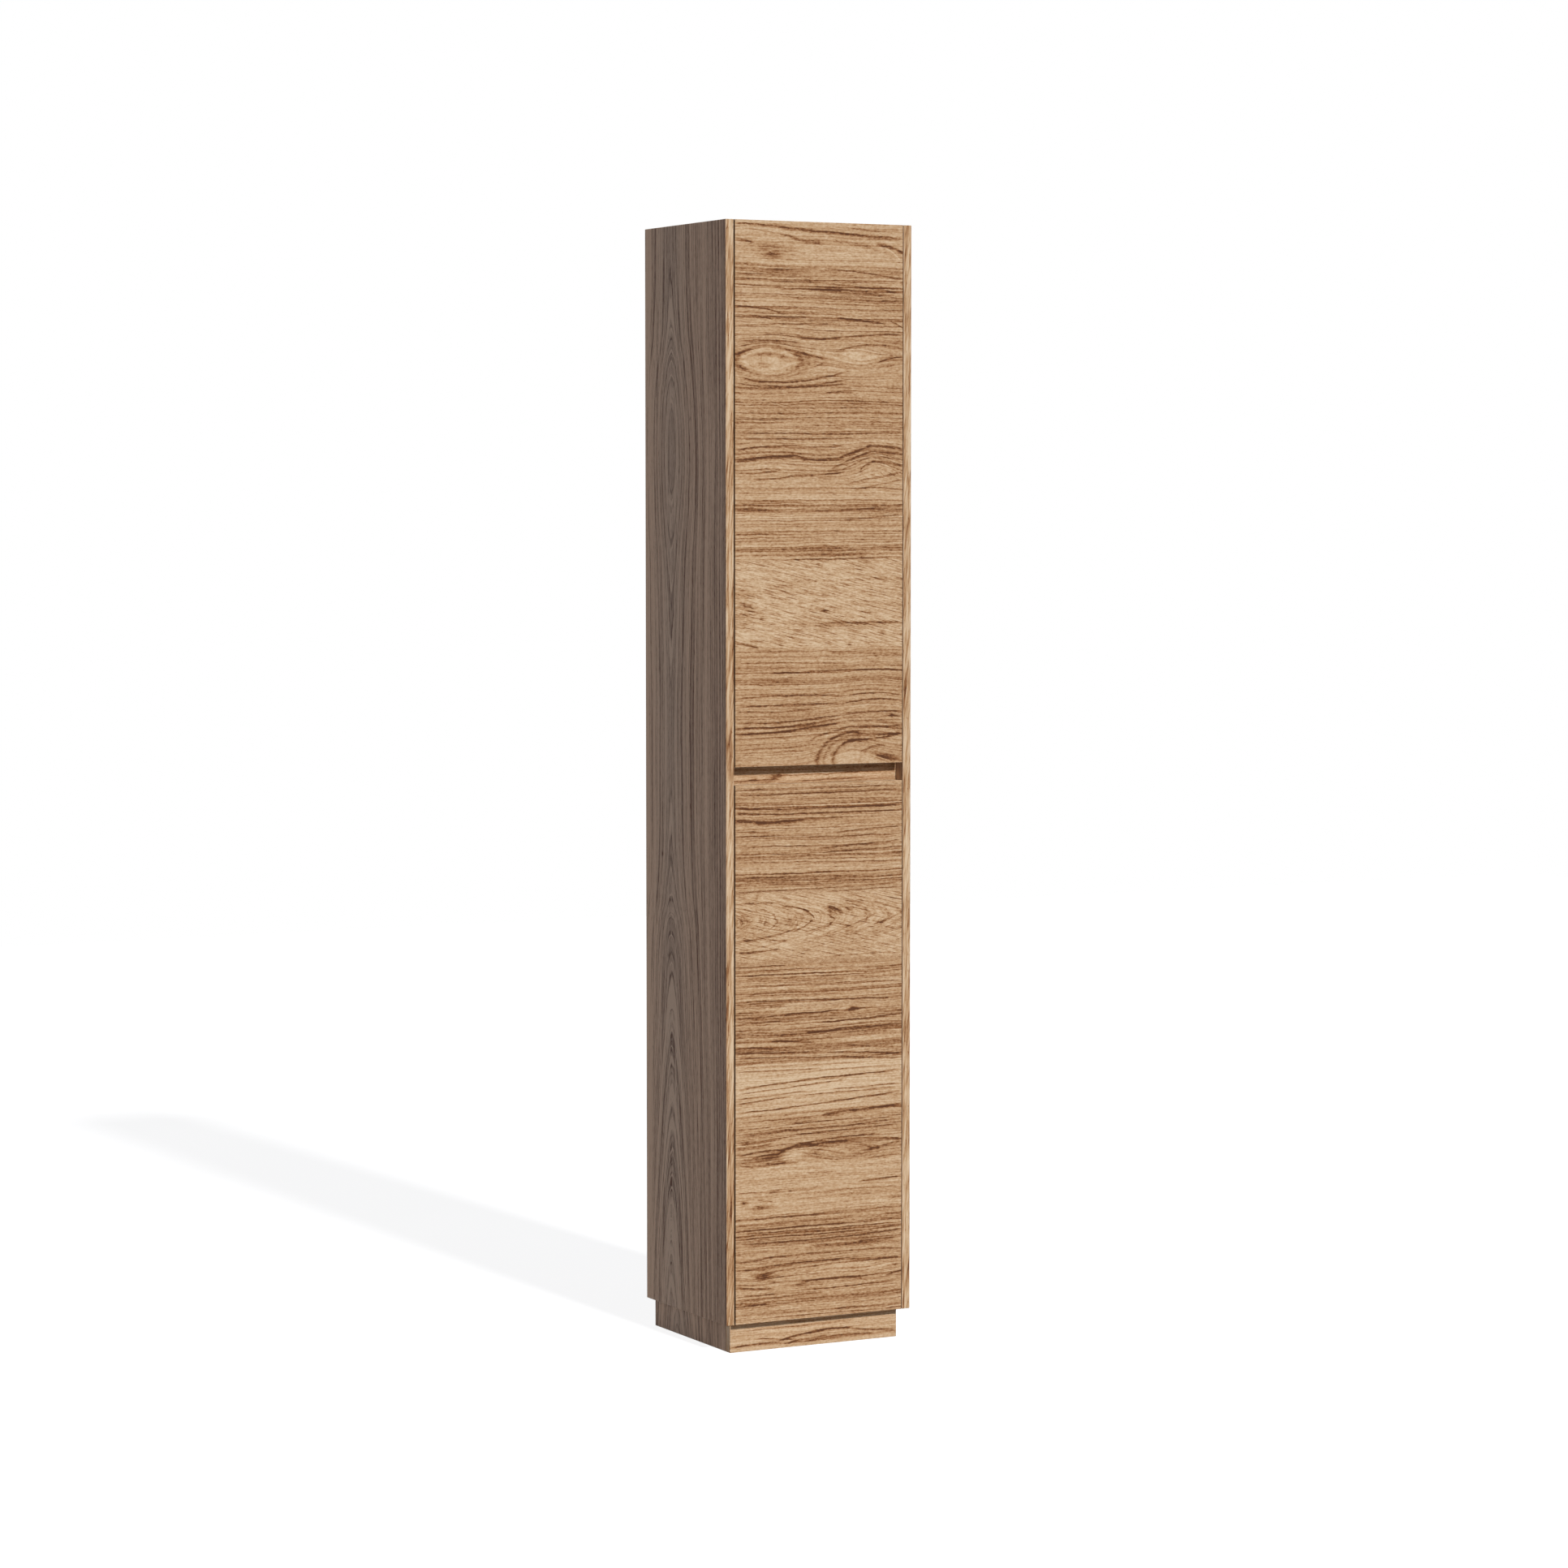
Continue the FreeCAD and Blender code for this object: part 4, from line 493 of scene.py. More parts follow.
class Tree:
    """A node tree that is filled by short calls, whose inputs are numbers, vectors or sockets."""

    def __init__(self, tree):
        self.tree = tree

    def feed(self, socket, value):
        if isinstance(value, bpy.types.NodeSocket):
            self.tree.links.new(value, socket)
        else:
            socket.default_value = value

    def node(self, kind, inputs=(), **settings):
        item = self.tree.nodes.new(kind)
        for name, value in settings.items():
            setattr(item, name, value)
        for key, value in dict(inputs).items():
            self.feed(item.inputs[key], value)
        return item

    def math(self, operation, *values, clamp=False):
        item = self.node("ShaderNodeMath", enumerate(values), operation=operation, use_clamp=clamp)
        return item.outputs[0]

    def add(self, first, second):
        return self.math("ADD", first, second)

    def less(self, first, second):
        return self.math("SUBTRACT", first, second)

    def times(self, first, second):
        return self.math("MULTIPLY", first, second)

    def over(self, first, second):
        return self.math("DIVIDE", first, second)

    def times_add(self, first, second, rest):
        """The product of the first two, and the rest."""
        return self.math("MULTIPLY_ADD", first, second, rest)

    def squares(self, first, second):
        """The sum of two squares."""
        return self.times_add(first, first, self.times(second, second))

    def bell(self, value):
        """A bell over a squared distance, 1 in the middle."""
        return self.math("EXPONENT", self.times(value, -1.0))

    def total(self, values):
        """The sum of values. A generator's are added as each is made, so few of them are open at once."""
        result = None
        for value in values:
            result = value if result is None else self.add(result, value)
        return result

    def noise(self, place, lengths, detail=2.0, roughness=0.5):
        """A soft noise from 0 to 1 whose lumps have a length for each axis."""
        scaled = self.node("ShaderNodeVectorMath", {0: place, 1: lengths}, operation="DIVIDE").outputs[0]
        item = self.node("ShaderNodeTexNoise", {
            "Vector": scaled, "Scale": 1.0, "Detail": detail, "Roughness": roughness})
        return item.outputs[0]

    def line_noise(self, value, spacing, start, detail=2.0):
        """A noise that changes along one value only."""
        item = self.node("ShaderNodeTexNoise", {
            "W": self.times_add(value, 1.0 / spacing, start), "Scale": 1.0, "Detail": detail},
            noise_dimensions="1D")
        return item.outputs[0]

    def span(self, value, start, end, low=0.0, high=1.0, kind="LINEAR"):
        """A step from low to high as a value goes from start to end."""
        item = self.node("ShaderNodeMapRange", {0: value, 1: start, 2: end, 3: low, 4: high},
                         interpolation_type=kind)
        return item.outputs[0]

    def ease(self, value, start, end, low=0.0, high=1.0):
        """The same step, smooth at both ends."""
        return self.span(value, start, end, low, high, "SMOOTHSTEP")

    def swing(self, noise, reach):
        """A noise moved to lie evenly about zero, up to reach."""
        return self.times_add(noise, 2.0 * reach, -reach)

    def split(self, place):
        return self.node("ShaderNodeSeparateXYZ", {0: place}).outputs

    def join(self, x, y, z):
        return self.node("ShaderNodeCombineXYZ", {0: x, 1: y, 2: z}).outputs[0]

    def ramp(self, value, stops):
        """Colours between stops of place and colour."""
        item = self.node("ShaderNodeValToRGB", {0: value})
        band = item.color_ramp
        while len(band.elements) < len(stops):
            band.elements.new(0.5)
        for element, (place, shade) in zip(band.elements, stops):
            element.position = place
            element.color = (*shade, 1.0)
        return item.outputs[0]

    def curve(self, value, points):
        """A smooth curve through points of value and result, from a first value of zero."""
        last = points[-1][0]
        most = max(result for place, result in points)
        item = self.node("ShaderNodeFloatCurve", {"Value": self.times(value, 1.0 / last)})
        line = item.mapping.curves[0]
        while len(line.points) < len(points):
            line.points.new(0.5, 0.5)
        for point, (place, result) in zip(line.points, points):
            point.location = (place / last, result / most)
        item.mapping.update()
        return self.times(item.outputs[0], most)

    def choose(self, share, first, second):
        """A number between two by a share."""
        return self.node("ShaderNodeMix", {0: share, 2: first, 3: second}, data_type="FLOAT").outputs[0]

    def mix(self, share, first, second, blend="MIX"):
        """A colour between two by a share."""
        item = self.node("ShaderNodeMix", {0: share, 6: first, 7: second}, data_type="RGBA", blend_type=blend)
        return item.outputs[2]

    def facing(self, normal, axis, least):
        """1 where the surface looks along an axis, and 0 elsewhere."""
        return self.math("GREATER_THAN", self.math("ABSOLUTE", self.split(normal)[axis]), least)

    def seen(self):
        """1 for what the camera sees, straight, mirrored or through glass, and 0 for scattered light."""
        rays = self.node("ShaderNodeLightPath").outputs
        return self.math("MAXIMUM", rays["Is Camera Ray"],
                         self.math("MAXIMUM", rays["Is Glossy Ray"], rays["Is Transmission Ray"]))


class Grain:
    """The noises of a wood decor, by their names in its tables."""

    def __init__(self, tree, place, noises, eases, weights):
        self.tree = tree
        self.place = place
        self.noises = noises
        self.eases = eases
        self.weights = weights

    def noise(self, name, place=None):
        return self.tree.noise(self.place if place is None else place, *self.noises[name])

    def swung(self, name, place=None):
        """A noise about zero, up to its weight."""
        return self.tree.swing(self.noise(name, place), self.weights[name])

    def eased(self, name, place=None):
        """A noise after its smooth step."""
        return self.tree.ease(self.noise(name, place), *self.eases[name])

    def weighed(self, name, value):
        return self.tree.times(value, self.weights[name])


def new_material(name):
    material = bpy.data.materials.new(name)
    material.use_nodes = True
    material.node_tree.nodes.clear()
    return material, Tree(material.node_tree)


def stroke_figure(tree, across, up, from_across, from_up, to_across, to_up, bow, half_width, strength):
    """One growth line: a bowed line from one point to another, crisper above and fading at its ends."""
    share = tree.span(across, from_across, to_across)
    arch = tree.times(share, tree.less(1.0, share))
    line = tree.times_add(share, tree.less(to_up, from_up), from_up)
    line = tree.times_add(arch, tree.times(bow, 4.0), line)
    away = tree.over(tree.less(up, line), half_width)
    away = tree.times(away, tree.times_add(tree.math("SIGN", away), STROKE_SIDES, STROKE_CRISP))
    body = tree.bell(tree.times(away, away))
    taper = tree.math("MULTIPLY", arch, STROKE_TAPER, clamp=True)
    return (tree.times(tree.times(body, taper), strength),)


def smudge_figure(tree, across, up, middle_across, middle_up, half_length, half_height, slope, strength):
    """A soft patch that leans by its slope."""
    off = tree.less(across, middle_across)
    rise = tree.less(tree.less(up, middle_up), tree.times(off, slope))
    far = tree.squares(tree.over(off, half_length), tree.over(rise, half_height))
    return (tree.times(tree.bell(far), strength),)


def patch_distance(tree, across, up, middle_across, middle_up, half_length, half_height):
    """Distance from the middle of a patch, 1 at its edge: across, up, and the square of both together."""
    off = tree.over(tree.less(across, middle_across), half_length)
    rise = tree.over(tree.less(up, middle_up), half_height)
    return off, rise, tree.squares(off, rise)


def eye_figure(tree, *inputs):
    """A closed figure that parts the growth lines, with a dark rim, a ring about it and a pale inside."""
    *patch, push, rim, pale, opening, crisp = inputs
    off, rise, far = patch_distance(tree, *patch)
    leaf = tree.times_add(off, off, tree.math("ABSOLUTE", rise))
    outline = tree.times_add(tree.less(leaf, far), EYE_LEAF, far)
    spread = tree.bell(tree.times(far, EYE_SPREAD))
    shift = tree.times(tree.times(rise, patch[-1]), push)
    shift = tree.times(tree.times(shift, spread), -1.0)
    edge = tree.times(tree.less(outline, 1.0), crisp)
    ring = tree.times(tree.less(outline, RING_PLACE), crisp)
    closed = tree.times_add(opening, -RING_SHARE, RING_SHARE)
    dark = tree.times_add(tree.bell(tree.times(ring, ring)), closed, tree.bell(tree.times(edge, edge)))
    hidden = tree.times(tree.ease(off, *OPEN_EASE), opening)
    dark = tree.times(tree.times(dark, tree.less(1.0, hidden)), rim)
    return shift, dark, tree.times(tree.ease(outline, *PALE_EASE), pale)


def swell_figure(tree, *inputs):
    """A rise that bends every growth line across it one way."""
    *patch, lift = inputs
    return (tree.times(tree.bell(patch_distance(tree, *patch)[2]), lift),)


def stave_figure(tree, up, low, high, soft):
    """A band between two heights with soft ends."""
    start, end = (tree.ease(up, tree.less(place, soft), tree.add(place, soft)) for place in (low, high))
    return (tree.less(start, end),)


PATCH = ("Across", "Up", "Middle across", "Middle up", "Half length", "Half height")
# The node groups of the drawn figure: the function that fills them, their inputs and their outputs.
FIGURES = {
    "grain_stroke": (
        stroke_figure,
        ("Across", "Up", "From across", "From up", "To across", "To up", "Bow", "Half width", "Strength"),
        ("Dark",)),
    "grain_smudge": (smudge_figure, (*PATCH, "Slope", "Strength"), ("Dark",)),
    "grain_eye": (eye_figure, (*PATCH, "Push", "Rim", "Pale", "Open", "Crisp"), ("Shift", "Dark", "Inside")),
    "grain_swell": (swell_figure, (*PATCH, "Lift"), ("Shift",)),
    "grain_stave": (stave_figure, ("Up", "Low", "High", "Soft"), ("Share",)),
}


def figure_group(name):
    """A node group of the drawn figure, made when it is first asked for."""
    if name in bpy.data.node_groups:
        return bpy.data.node_groups[name]
    fill, inputs, outputs = FIGURES[name]
    group = bpy.data.node_groups.new(name, "ShaderNodeTree")
    for way, titles in (("INPUT", inputs), ("OUTPUT", outputs)):
        for title in titles:
            group.interface.new_socket(title, in_out=way, socket_type="NodeSocketFloat")
    tree = Tree(group)
    given = tree.node("NodeGroupInput").outputs[:len(inputs)]
    result = tree.node("NodeGroupOutput").inputs
    for socket, value in zip(result, fill(tree, *given)):
        tree.feed(socket, value)
    return group


def use_figure(tree, name, *values):
    """One figure group in a material, with its inputs in order."""
    item = tree.node("ShaderNodeGroup", node_tree=figure_group(name))
    for socket, value in zip(item.inputs, values):
        tree.feed(socket, value)
    return item.outputs


def place_in_millimetres(tree):
    """The place on the object, in millimetres, and the way the surface faces."""
    coordinates = tree.node("ShaderNodeTexCoord").outputs
    inputs = {0: coordinates["Object"], 3: 1.0 / MILLIMETRE}
    item = tree.node("ShaderNodeVectorMath", inputs, operation="SCALE")
    return item.outputs[0], coordinates["Normal"]


def bumped_surface(tree, height, distance, inputs, strength, invert=False):
    """End a material in a surface with a fine relief."""
    bump = tree.node("ShaderNodeBump", {"Height": height, "Strength": strength, "Distance": distance},
                     invert=invert)
    surface = tree.node("ShaderNodeBsdfPrincipled", {**inputs, "Normal": bump.outputs[0]})
    tree.node("ShaderNodeOutputMaterial", {"Surface": surface.outputs[0]})


def wood_surface(tree, shade, height, roughness):
    """A satin wood surface whose pores and lines lie a little lower."""
    relief = bpy.context.scene.cabinet_decor.relief
    inputs = {"Base Color": shade, "Roughness": roughness, "Specular IOR Level": 0.12}
    bumped_surface(tree, height, relief, inputs, strength=0.35, invert=True)


def front_stops():
    """The tones of the front boards from light to dark."""
    decor = bpy.context.scene.cabinet_decor
    return ((0.0, decor.front_light), (0.45, decor.front_middle), (0.82, decor.front_line),
            (1.0, decor.front_knot))


def band_streaks(tree, parts, face, along):
    """Streaks along an edge band, some straight and some that lean across its width."""
    lean = list(parts)
    lean[face] = tree.times_add(parts[along], STREAK_LEAN, parts[face])
    lengths = [STREAK_WIDTH] * 3
    lengths[along] = STRAIGHT_LENGTH
    straight = tree.noise(tree.join(*parts), lengths, 3.0, 0.6)
    lengths[along] = LEANING_LENGTH
    return tree.add(straight, tree.noise(tree.join(*lean), lengths, 3.0, 0.6))


def banded(tree, place, normal, axis, face_shade):
    """The colour of a board: its face, and on its edges a pale band with streaks and short flecks."""
    grain = Grain(tree, place, BAND_NOISE, BAND_EASE, BAND_WEIGHT)
    face = "XYZ".index(axis)
    first, second = [index for index in range(3) if index != face]
    parts = list(tree.split(place))
    streaks = tree.choose(tree.facing(normal, first, EDGE_LEAST), band_streaks(tree, parts, face, first),
                          band_streaks(tree, parts, face, second))
    dark = tree.total([
        tree.times_add(streaks, BAND_WEIGHT["streaks"], BAND_WEIGHT["base"]),
        grain.weighed("flecks", grain.eased("flecks")),
        grain.swung("tone"),
    ])
    band_shade = tree.ramp(dark, front_stops())
    return tree.mix(tree.facing(normal, face, FACE_LEAST), band_shade, face_shade)


def growth_lines(tree, field, spacing, start):
    """Thin lines where a noise of the field crosses its middle."""
    waves = tree.line_noise(field, spacing, start)
    return tree.ease(tree.math("ABSOLUTE", tree.less(waves, 0.5)), LINE_NEAR, 0.0)


def stave_sums(tree, up, staves):
    """Tone, line amount and fleck amount at a height, from the staves."""
    sums = [0.0, 0.0, 0.0]
    for low, high, *amounts in staves:
        share = use_figure(tree, "grain_stave", up, low, high, STAVE_SOFT)[0]
        sums = [tree.times_add(share, amount, total) for amount, total in zip(amounts, sums)]
    return sums


def drawn_decor(name, strokes, smudges, staves, eyes=(), swells=(), chevrons=None):
    """Wood decor with level grain whose growth lines, eyes and patches are drawn one by one."""
    spacing = bpy.context.scene.cabinet_decor.line_spacing
    material, tree = new_material(name)
    place, normal = place_in_millimetres(tree)
    x, y, z = tree.split(place)
    grain = Grain(tree, place, FRONT_NOISE, FRONT_EASE, FRONT_WEIGHT)

    # The growth lines follow the height, bent by waves, eyes and swells.
    slow = grain.swung("slow")
    quick = grain.swung("quick")
    rough_up = tree.add(z, quick)
    rough_across = tree.add(x, grain.swung("ragged"))
    field = tree.add(rough_up, slow)
    rims, pales = 0.0, 0.0
    for eye in eyes:
        shift, rim, pale = use_figure(tree, "grain_eye", x, rough_up, *eye)
        field = tree.add(field, shift)
        rims = tree.add(rim, rims)
        pales = tree.add(pale, pales)
    for swell in swells:
        field = tree.add(field, use_figure(tree, "grain_swell", x, z, *swell)[0])
    tone, line_amount, fleck_amount = stave_sums(tree, field, staves)
    if chevrons:
        low, high, middle, pitch, point = chevrons
        within = use_figure(tree, "grain_stave", field, low, high, CHEVRON_SOFT)[0]
        off = tree.less(z, middle)
        nose = tree.times(tree.times(off, off), point)
        arrow = tree.times(tree.add(tree.add(x, nose), tree.times(quick, CHEVRON_WAVE)), pitch)
        field = tree.choose(within, field, arrow)
        line_amount = tree.times_add(within, CHEVRON_LINES, line_amount)

    # The lines come and go along their length, and finer ones show where they fade.
    come_and_go = grain.eased("come_and_go")
    lines = tree.times(growth_lines(tree, field, spacing, 0.0), come_and_go)
    fine_lines = growth_lines(tree, field, FINE_SPACING * spacing, FINE_START)
    fine_lines = tree.times(fine_lines, tree.less(FINE_FADE, come_and_go))
    lines = tree.times(tree.times_add(fine_lines, FRONT_WEIGHT["fine_lines"], lines), line_amount)
    fibre_place = tree.join(x, y, field)
    fibres = grain.swung("fibres", fibre_place)
    grit = grain.swung("grit")
    bars = grain.noise("bars", fibre_place)
    pores = grain.eased("pores", fibre_place)
    slant = tree.join(tree.times_add(z, FLECK_SLANT[0], x), y, tree.times_add(x, FLECK_SLANT[1], z))
    flecks = tree.times(grain.eased("flecks", slant), fleck_amount)
    calm = tree.ease(fleck_amount, *FRONT_EASE["calm"])
    broad = grain.swung("broad")

    stroke_sum = tree.total(use_figure(tree, "grain_stroke", x, rough_up, *stroke)[0] for stroke in strokes)
    stroke_sum = tree.times(stroke_sum, grain.eased("broken"))
    smudge_sum = tree.total(use_figure(tree, "grain_smudge", rough_across, rough_up, *smudge)[0]
                            for smudge in smudges)
    smudge_sum = tree.times(smudge_sum, tree.ease(bars, *FRONT_EASE["smudges"]))

    dark = tree.total([
        tree.add(tone, FRONT_WEIGHT["base"]),
        broad,
        grain.weighed("lines", lines),
        fibres,
        grit,
        tree.times(tree.swing(bars, FRONT_WEIGHT["bars"]), calm),
        grain.weighed("pores", pores),
        grain.weighed("flecks", flecks),
        grain.weighed("strokes", stroke_sum),
        grain.weighed("smudges", smudge_sum),
    ])
    if eyes:
        dark = tree.times_add(rims, FRONT_WEIGHT["rims"], dark)
        dark = tree.times_add(pales, FRONT_WEIGHT["pales"], dark)
    shade = banded(tree, place, normal, "Y", tree.ramp(dark, front_stops()))
    wood_surface(tree, shade, grain.noise("relief"), tree.ease(dark, *FRONT_EASE["roughness"]))
    return material


def board_span(node, axis):
    """The lowest and highest place of a CAD node along an axis, in millimetres."""
    places = [corner["XYZ".index(axis)] / MILLIMETRE for corner in NODES[node].bound_box]
    return min(places), max(places)


def heart_decor(node, axes, heart, seed, climbs=None, spots_and_painted_highlight=()):
    """Quieter wood decor, cut near the heart of a log.

    Its arches are nested along the heart, and its lines are straight beside it."""
    decor = bpy.context.scene.cabinet_decor
    material, tree = new_material(node + "_decor")
    place, normal = place_in_millimetres(tree)
    parts = dict(zip("XYZ", tree.split(place)))
    along, across, depth = (parts[axis] for axis in axes)
    plan = tree.join(tree.add(along, seed), across, depth)
    grain = Grain(tree, plan, HEART_NOISE, HEART_EASE, HEART_WEIGHT)

    def laid_out(name):
        """The spacing and start of a noise along one value."""
        spacing, share, rest = HEART_LINES[name]
        return spacing, seed * share + rest

    # The growth lines follow the distance from the heart, and a climb along it bends them into arches.
    if heart is None:
        heart = sum(board_span(node, axes[1])) / 2
    off = tree.less(tree.add(across, grain.swung("drift")), heart)
    square = tree.times(off, off)
    round_off = tree.math("SQRT", tree.add(square, HEART_ROUND))
    reach = tree.bell(tree.over(square, HEART_REACH))
    if climbs:
        climb = tree.less(tree.curve(along, climbs), CLIMB_ZERO)
    else:
        low, high = board_span(node, axes[0])
        rise = min(MOST_RISE, RISE_SHARE * (high - low))
        wander = tree.line_noise(along, *laid_out("wander"), detail=1.0)
        climb = tree.add(tree.span(along, low, high, -rise, rise), tree.swing(wander, HEART_WEIGHT["wander"]))
    field = tree.total([round_off, tree.times(climb, reach), grain.swung("quick")])

    lines = tree.times(growth_lines(tree, field, *laid_out("lines")), grain.eased("come_and_go"))
    pale_lines = tree.times(growth_lines(tree, field, *laid_out("pale_lines")), reach)
    fibres = grain.noise("fibres")
    dark = tree.total([
        tree.times_add(lines, HEART_WEIGHT["lines"], HEART_WEIGHT["base"]),
        grain.weighed("pale_lines", pale_lines),
        tree.swing(tree.line_noise(field, *laid_out("bands")), HEART_WEIGHT["bands"]),
        grain.swung("straight"),
        grain.swung("threads"),
        tree.swing(fibres, HEART_WEIGHT["fibres"]),
        grain.weighed("pores", grain.eased("pores")),
    ])
    if axes[2] != "X":
        dark = tree.times_add(tree.less(dark, INNER_MIDDLE), INNER_CONTRAST, INNER_MIDDLE)
    # The left panel's spots include a painted highlight, a pale strip near its back edge.
    for spot in spots_and_painted_highlight:
        dark = tree.add(dark, use_figure(tree, "grain_smudge", across, along, *spot)[0])
    # The side colours carry painted shade and cool light as well as the wood's own tone.
    face = tree.ramp(dark, ((0.0, decor.side_light_with_painted_shade), (0.45, decor.side_middle_with_painted_shade), (0.9, decor.side_line_with_painted_shade),
                            (1.0, decor.front_knot)))
    near = grain.weighed("tint", tree.bell(tree.over(square, TINT_REACH)))
    face = tree.mix(near, face, decor.heart_tint, "MULTIPLY")
    shade = banded(tree, place, normal, axes[2], face)
    wood_surface(tree, shade, fibres, tree.ease(dark, *HEART_EASE["roughness"]))
    return material


def beech_finish(name, base):
    """Raw beech with short flecks."""
    material, tree = new_material(name)
    place = place_in_millimetres(tree)[0]
    streak = tree.noise(place, (2.0, 2.0, 40.0), 3.0, 0.6)
    flecks = tree.ease(tree.noise(place, (0.8, 0.8, 4.0)), 0.58, 0.7)
    dark = tree.times_add(flecks, 0.3, streak)
    shade = tree.ramp(dark, ((0.2, base * 1.15), (0.55, base), (1.0, base * 0.55)))
    wood_surface(tree, shade, dark, tree.ease(dark, 0.2, 0.8, 0.6, 0.75))
    return material


def metal_finish(name, base, smooth, rough, brushed):
    """A metal with fine brush marks and faint stains."""
    material, tree = new_material(name)
    place = place_in_millimetres(tree)[0]
    marks = tree.noise(place, brushed, 3.0, 0.6)
    stains = tree.noise(place, (6.0, 6.0, 6.0), 3.0, 0.6)
    shade = tree.ramp(stains, ((0.3, base * 0.82), (0.55, base), (0.8, base * 1.1)))
    worn = tree.add(tree.times(marks, 0.6), tree.times(stains, 0.4))
    roughness = tree.ease(worn, 0.3, 0.7, smooth, rough)
    inputs = {"Base Color": shade, "Metallic": 1.0, "Roughness": roughness}
    bumped_surface(tree, marks, 0.05 * MILLIMETRE, inputs, strength=0.25)
    return material


def moulded_finish(name, base, smooth, rough, grain):
    """A moulded material with a fine grain and slow changes of tone."""
    material, tree = new_material(name)
    place = place_in_millimetres(tree)[0]
    fine = tree.noise(place, (grain, grain, grain), 2.0, 0.6)
    slow = tree.noise(place, (12.0, 12.0, 12.0))
    tone = tree.times_add(fine, 0.4, tree.times(slow, 0.6))
    shade = tree.ramp(tone, ((0.3, base * 0.85), (0.5, base), (0.7, base * 1.15)))
    roughness = tree.ease(fine, 0.3, 0.7, smooth, rough)
    inputs = {"Base Color": shade, "Roughness": roughness, "Specular IOR Level": 0.4}
    bumped_surface(tree, fine, 0.1 * MILLIMETRE, inputs, strength=0.3)
    return material


# Hardware finishes by their slot in the record: the colour setting, the material's name, the function that
# makes it and its measures, which are the least and most roughness and the length of the marks or the grain.
FINISHES = {
    "nickel": ("nickel", "nickel_plate", metal_finish, 0.22, 0.36, (12.0, 0.6, 0.6)),
    "steel": ("steel", "zinc_plated_steel", metal_finish, 0.26, 0.44, (1.5, 1.5, 1.5)),
    "zinc": ("zinc", "cast_zinc", metal_finish, 0.42, 0.6, (0.8, 0.8, 0.8)),
    "plastic": ("plastic", "brown_plastic", moulded_finish, 0.4, 0.55, 0.5),
    "magnet": ("magnet", "sintered_magnet", moulded_finish, 0.45, 0.65, 0.35),
    "clear_rubber": ("rubber", "soft_pad", moulded_finish, 0.35, 0.5, 0.8),
    "beech": ("beech", "raw_beech", beech_finish),
}


def finish_of(node):
    """The hardware material of a node, made when it is first asked for."""
    setting, name, make, *measures = FINISHES[SLOT_OF[node]]
    base = Vector(getattr(bpy.context.scene.cabinet_hardware, setting))
    return bpy.data.materials.get(name) or make(name, base, *measures)


def dress(node, material):
    """Give a carried-over CAD node its material."""
    slots = NODES[node].data.materials
    slots.clear()
    slots.append(material)


def finish_piece(node, shape):
    """Make a shape the piece that stands for a CAD node, smooth but for its sharp edges."""
    for face in shape.faces:
        face.smooth = True
    for edge in shape.edges:
        edge.smooth = edge.is_manifold and edge.calc_face_angle() < SHARP
    mesh = bpy.data.meshes.new(node + "_finished")
    shape.to_mesh(mesh)
    shape.free()
    mesh.materials.append(finish_of(node))
    piece = bpy.data.objects.new(node + "_finished", mesh)
    bpy.context.scene.collection.objects.link(piece)
    even = piece.modifiers.new("even_normals", "WEIGHTED_NORMAL")
    even.keep_sharp = True
    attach(piece, BODY_OF[node])
    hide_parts(node)


def merged_copy(node):
    """The solids of a CAD node with their loose triangles joined and their flat faces made whole."""
    shape = bmesh.new()
    shape.from_mesh(NODES[node].data)
    bmesh.ops.remove_doubles(shape, verts=shape.verts, dist=WELD)
    bmesh.ops.dissolve_limit(shape, angle_limit=FLAT, verts=shape.verts, edges=shape.edges)
    return shape


def round_edges(node, radius):
    """Replace a CAD node by its own solids with rounded edges."""
    shape = merged_copy(node)
    sharp = [edge for edge in shape.edges if edge.is_manifold and edge.calc_face_angle() > SHARP]
    bmesh.ops.bevel(shape, geom=sharp, offset=radius, offset_type="OFFSET", affect="EDGES", segments=2,
                    profile=0.5, material=-1, clamp_overlap=True)
    finish_piece(node, shape)


def round_nodes(**radii):
    """Round the nodes whose names end in a key, by its radius in millimetres."""
    for node in NODES:
        for ending, radius in radii.items():
            if node.endswith(ending):
                round_edges(node, radius * MILLIMETRE)


def solids_of(node):
    """The points of each separate solid in a CAD node."""
    shape = merged_copy(node)
    left = set(shape.verts)
    solids = []
    while left:
        reach = [left.pop()]
        solid = []
        while reach:
            vertex = reach.pop()
            solid.append(vertex.co.copy())
            near = [edge.other_vert(vertex) for edge in vertex.link_edges]
            reach += [other for other in near if other in left]
            left.difference_update(near)
        solids.append(solid)
    shape.free()
    return solids


def radii_about(points, middle, axis):
    """How far points are from a line through the middle along an axis."""
    flat = [point - middle for point in points]
    for off in flat:
        off[axis] = 0.0
    return [off.length for off in flat]


def screw_measures(points):
    """The move from an upright screw at the origin to its place, and its radii and lengths."""
    low = Vector([min(point[axis] for point in points) for axis in range(3)])
    high = Vector([max(point[axis] for point in points) for axis in range(3)])
    middle = (low + high) / 2
    distances = [radii_about(points, middle, axis) for axis in range(3)]
    axis = min(range(3), key=lambda item: len({round(radius, 5) for radius in distances[item]}))
    radii = distances[axis]
    head = max(radii)
    head_ends = [point[axis] for point, radius in zip(points, radii) if radius > HEAD_LEAST * head]
    shank = max(radius for radius in radii if radius < HEAD_LEAST * head)
    outward = 1.0 if high[axis] - max(head_ends) < min(head_ends) - low[axis] else -1.0
    seat = middle.copy()
    seat[axis] = min(head_ends) if outward > 0 else max(head_ends)
    way = Vector((0.0, 0.0, 0.0))
    way[axis] = outward
    turn = Vector((0.0, 0.0, 1.0)).rotation_difference(way).to_matrix().to_4x4()
    height = max(head_ends) - min(head_ends)
    return Matrix.Translation(seat) @ turn, head, height, shank, high[axis] - low[axis] - height


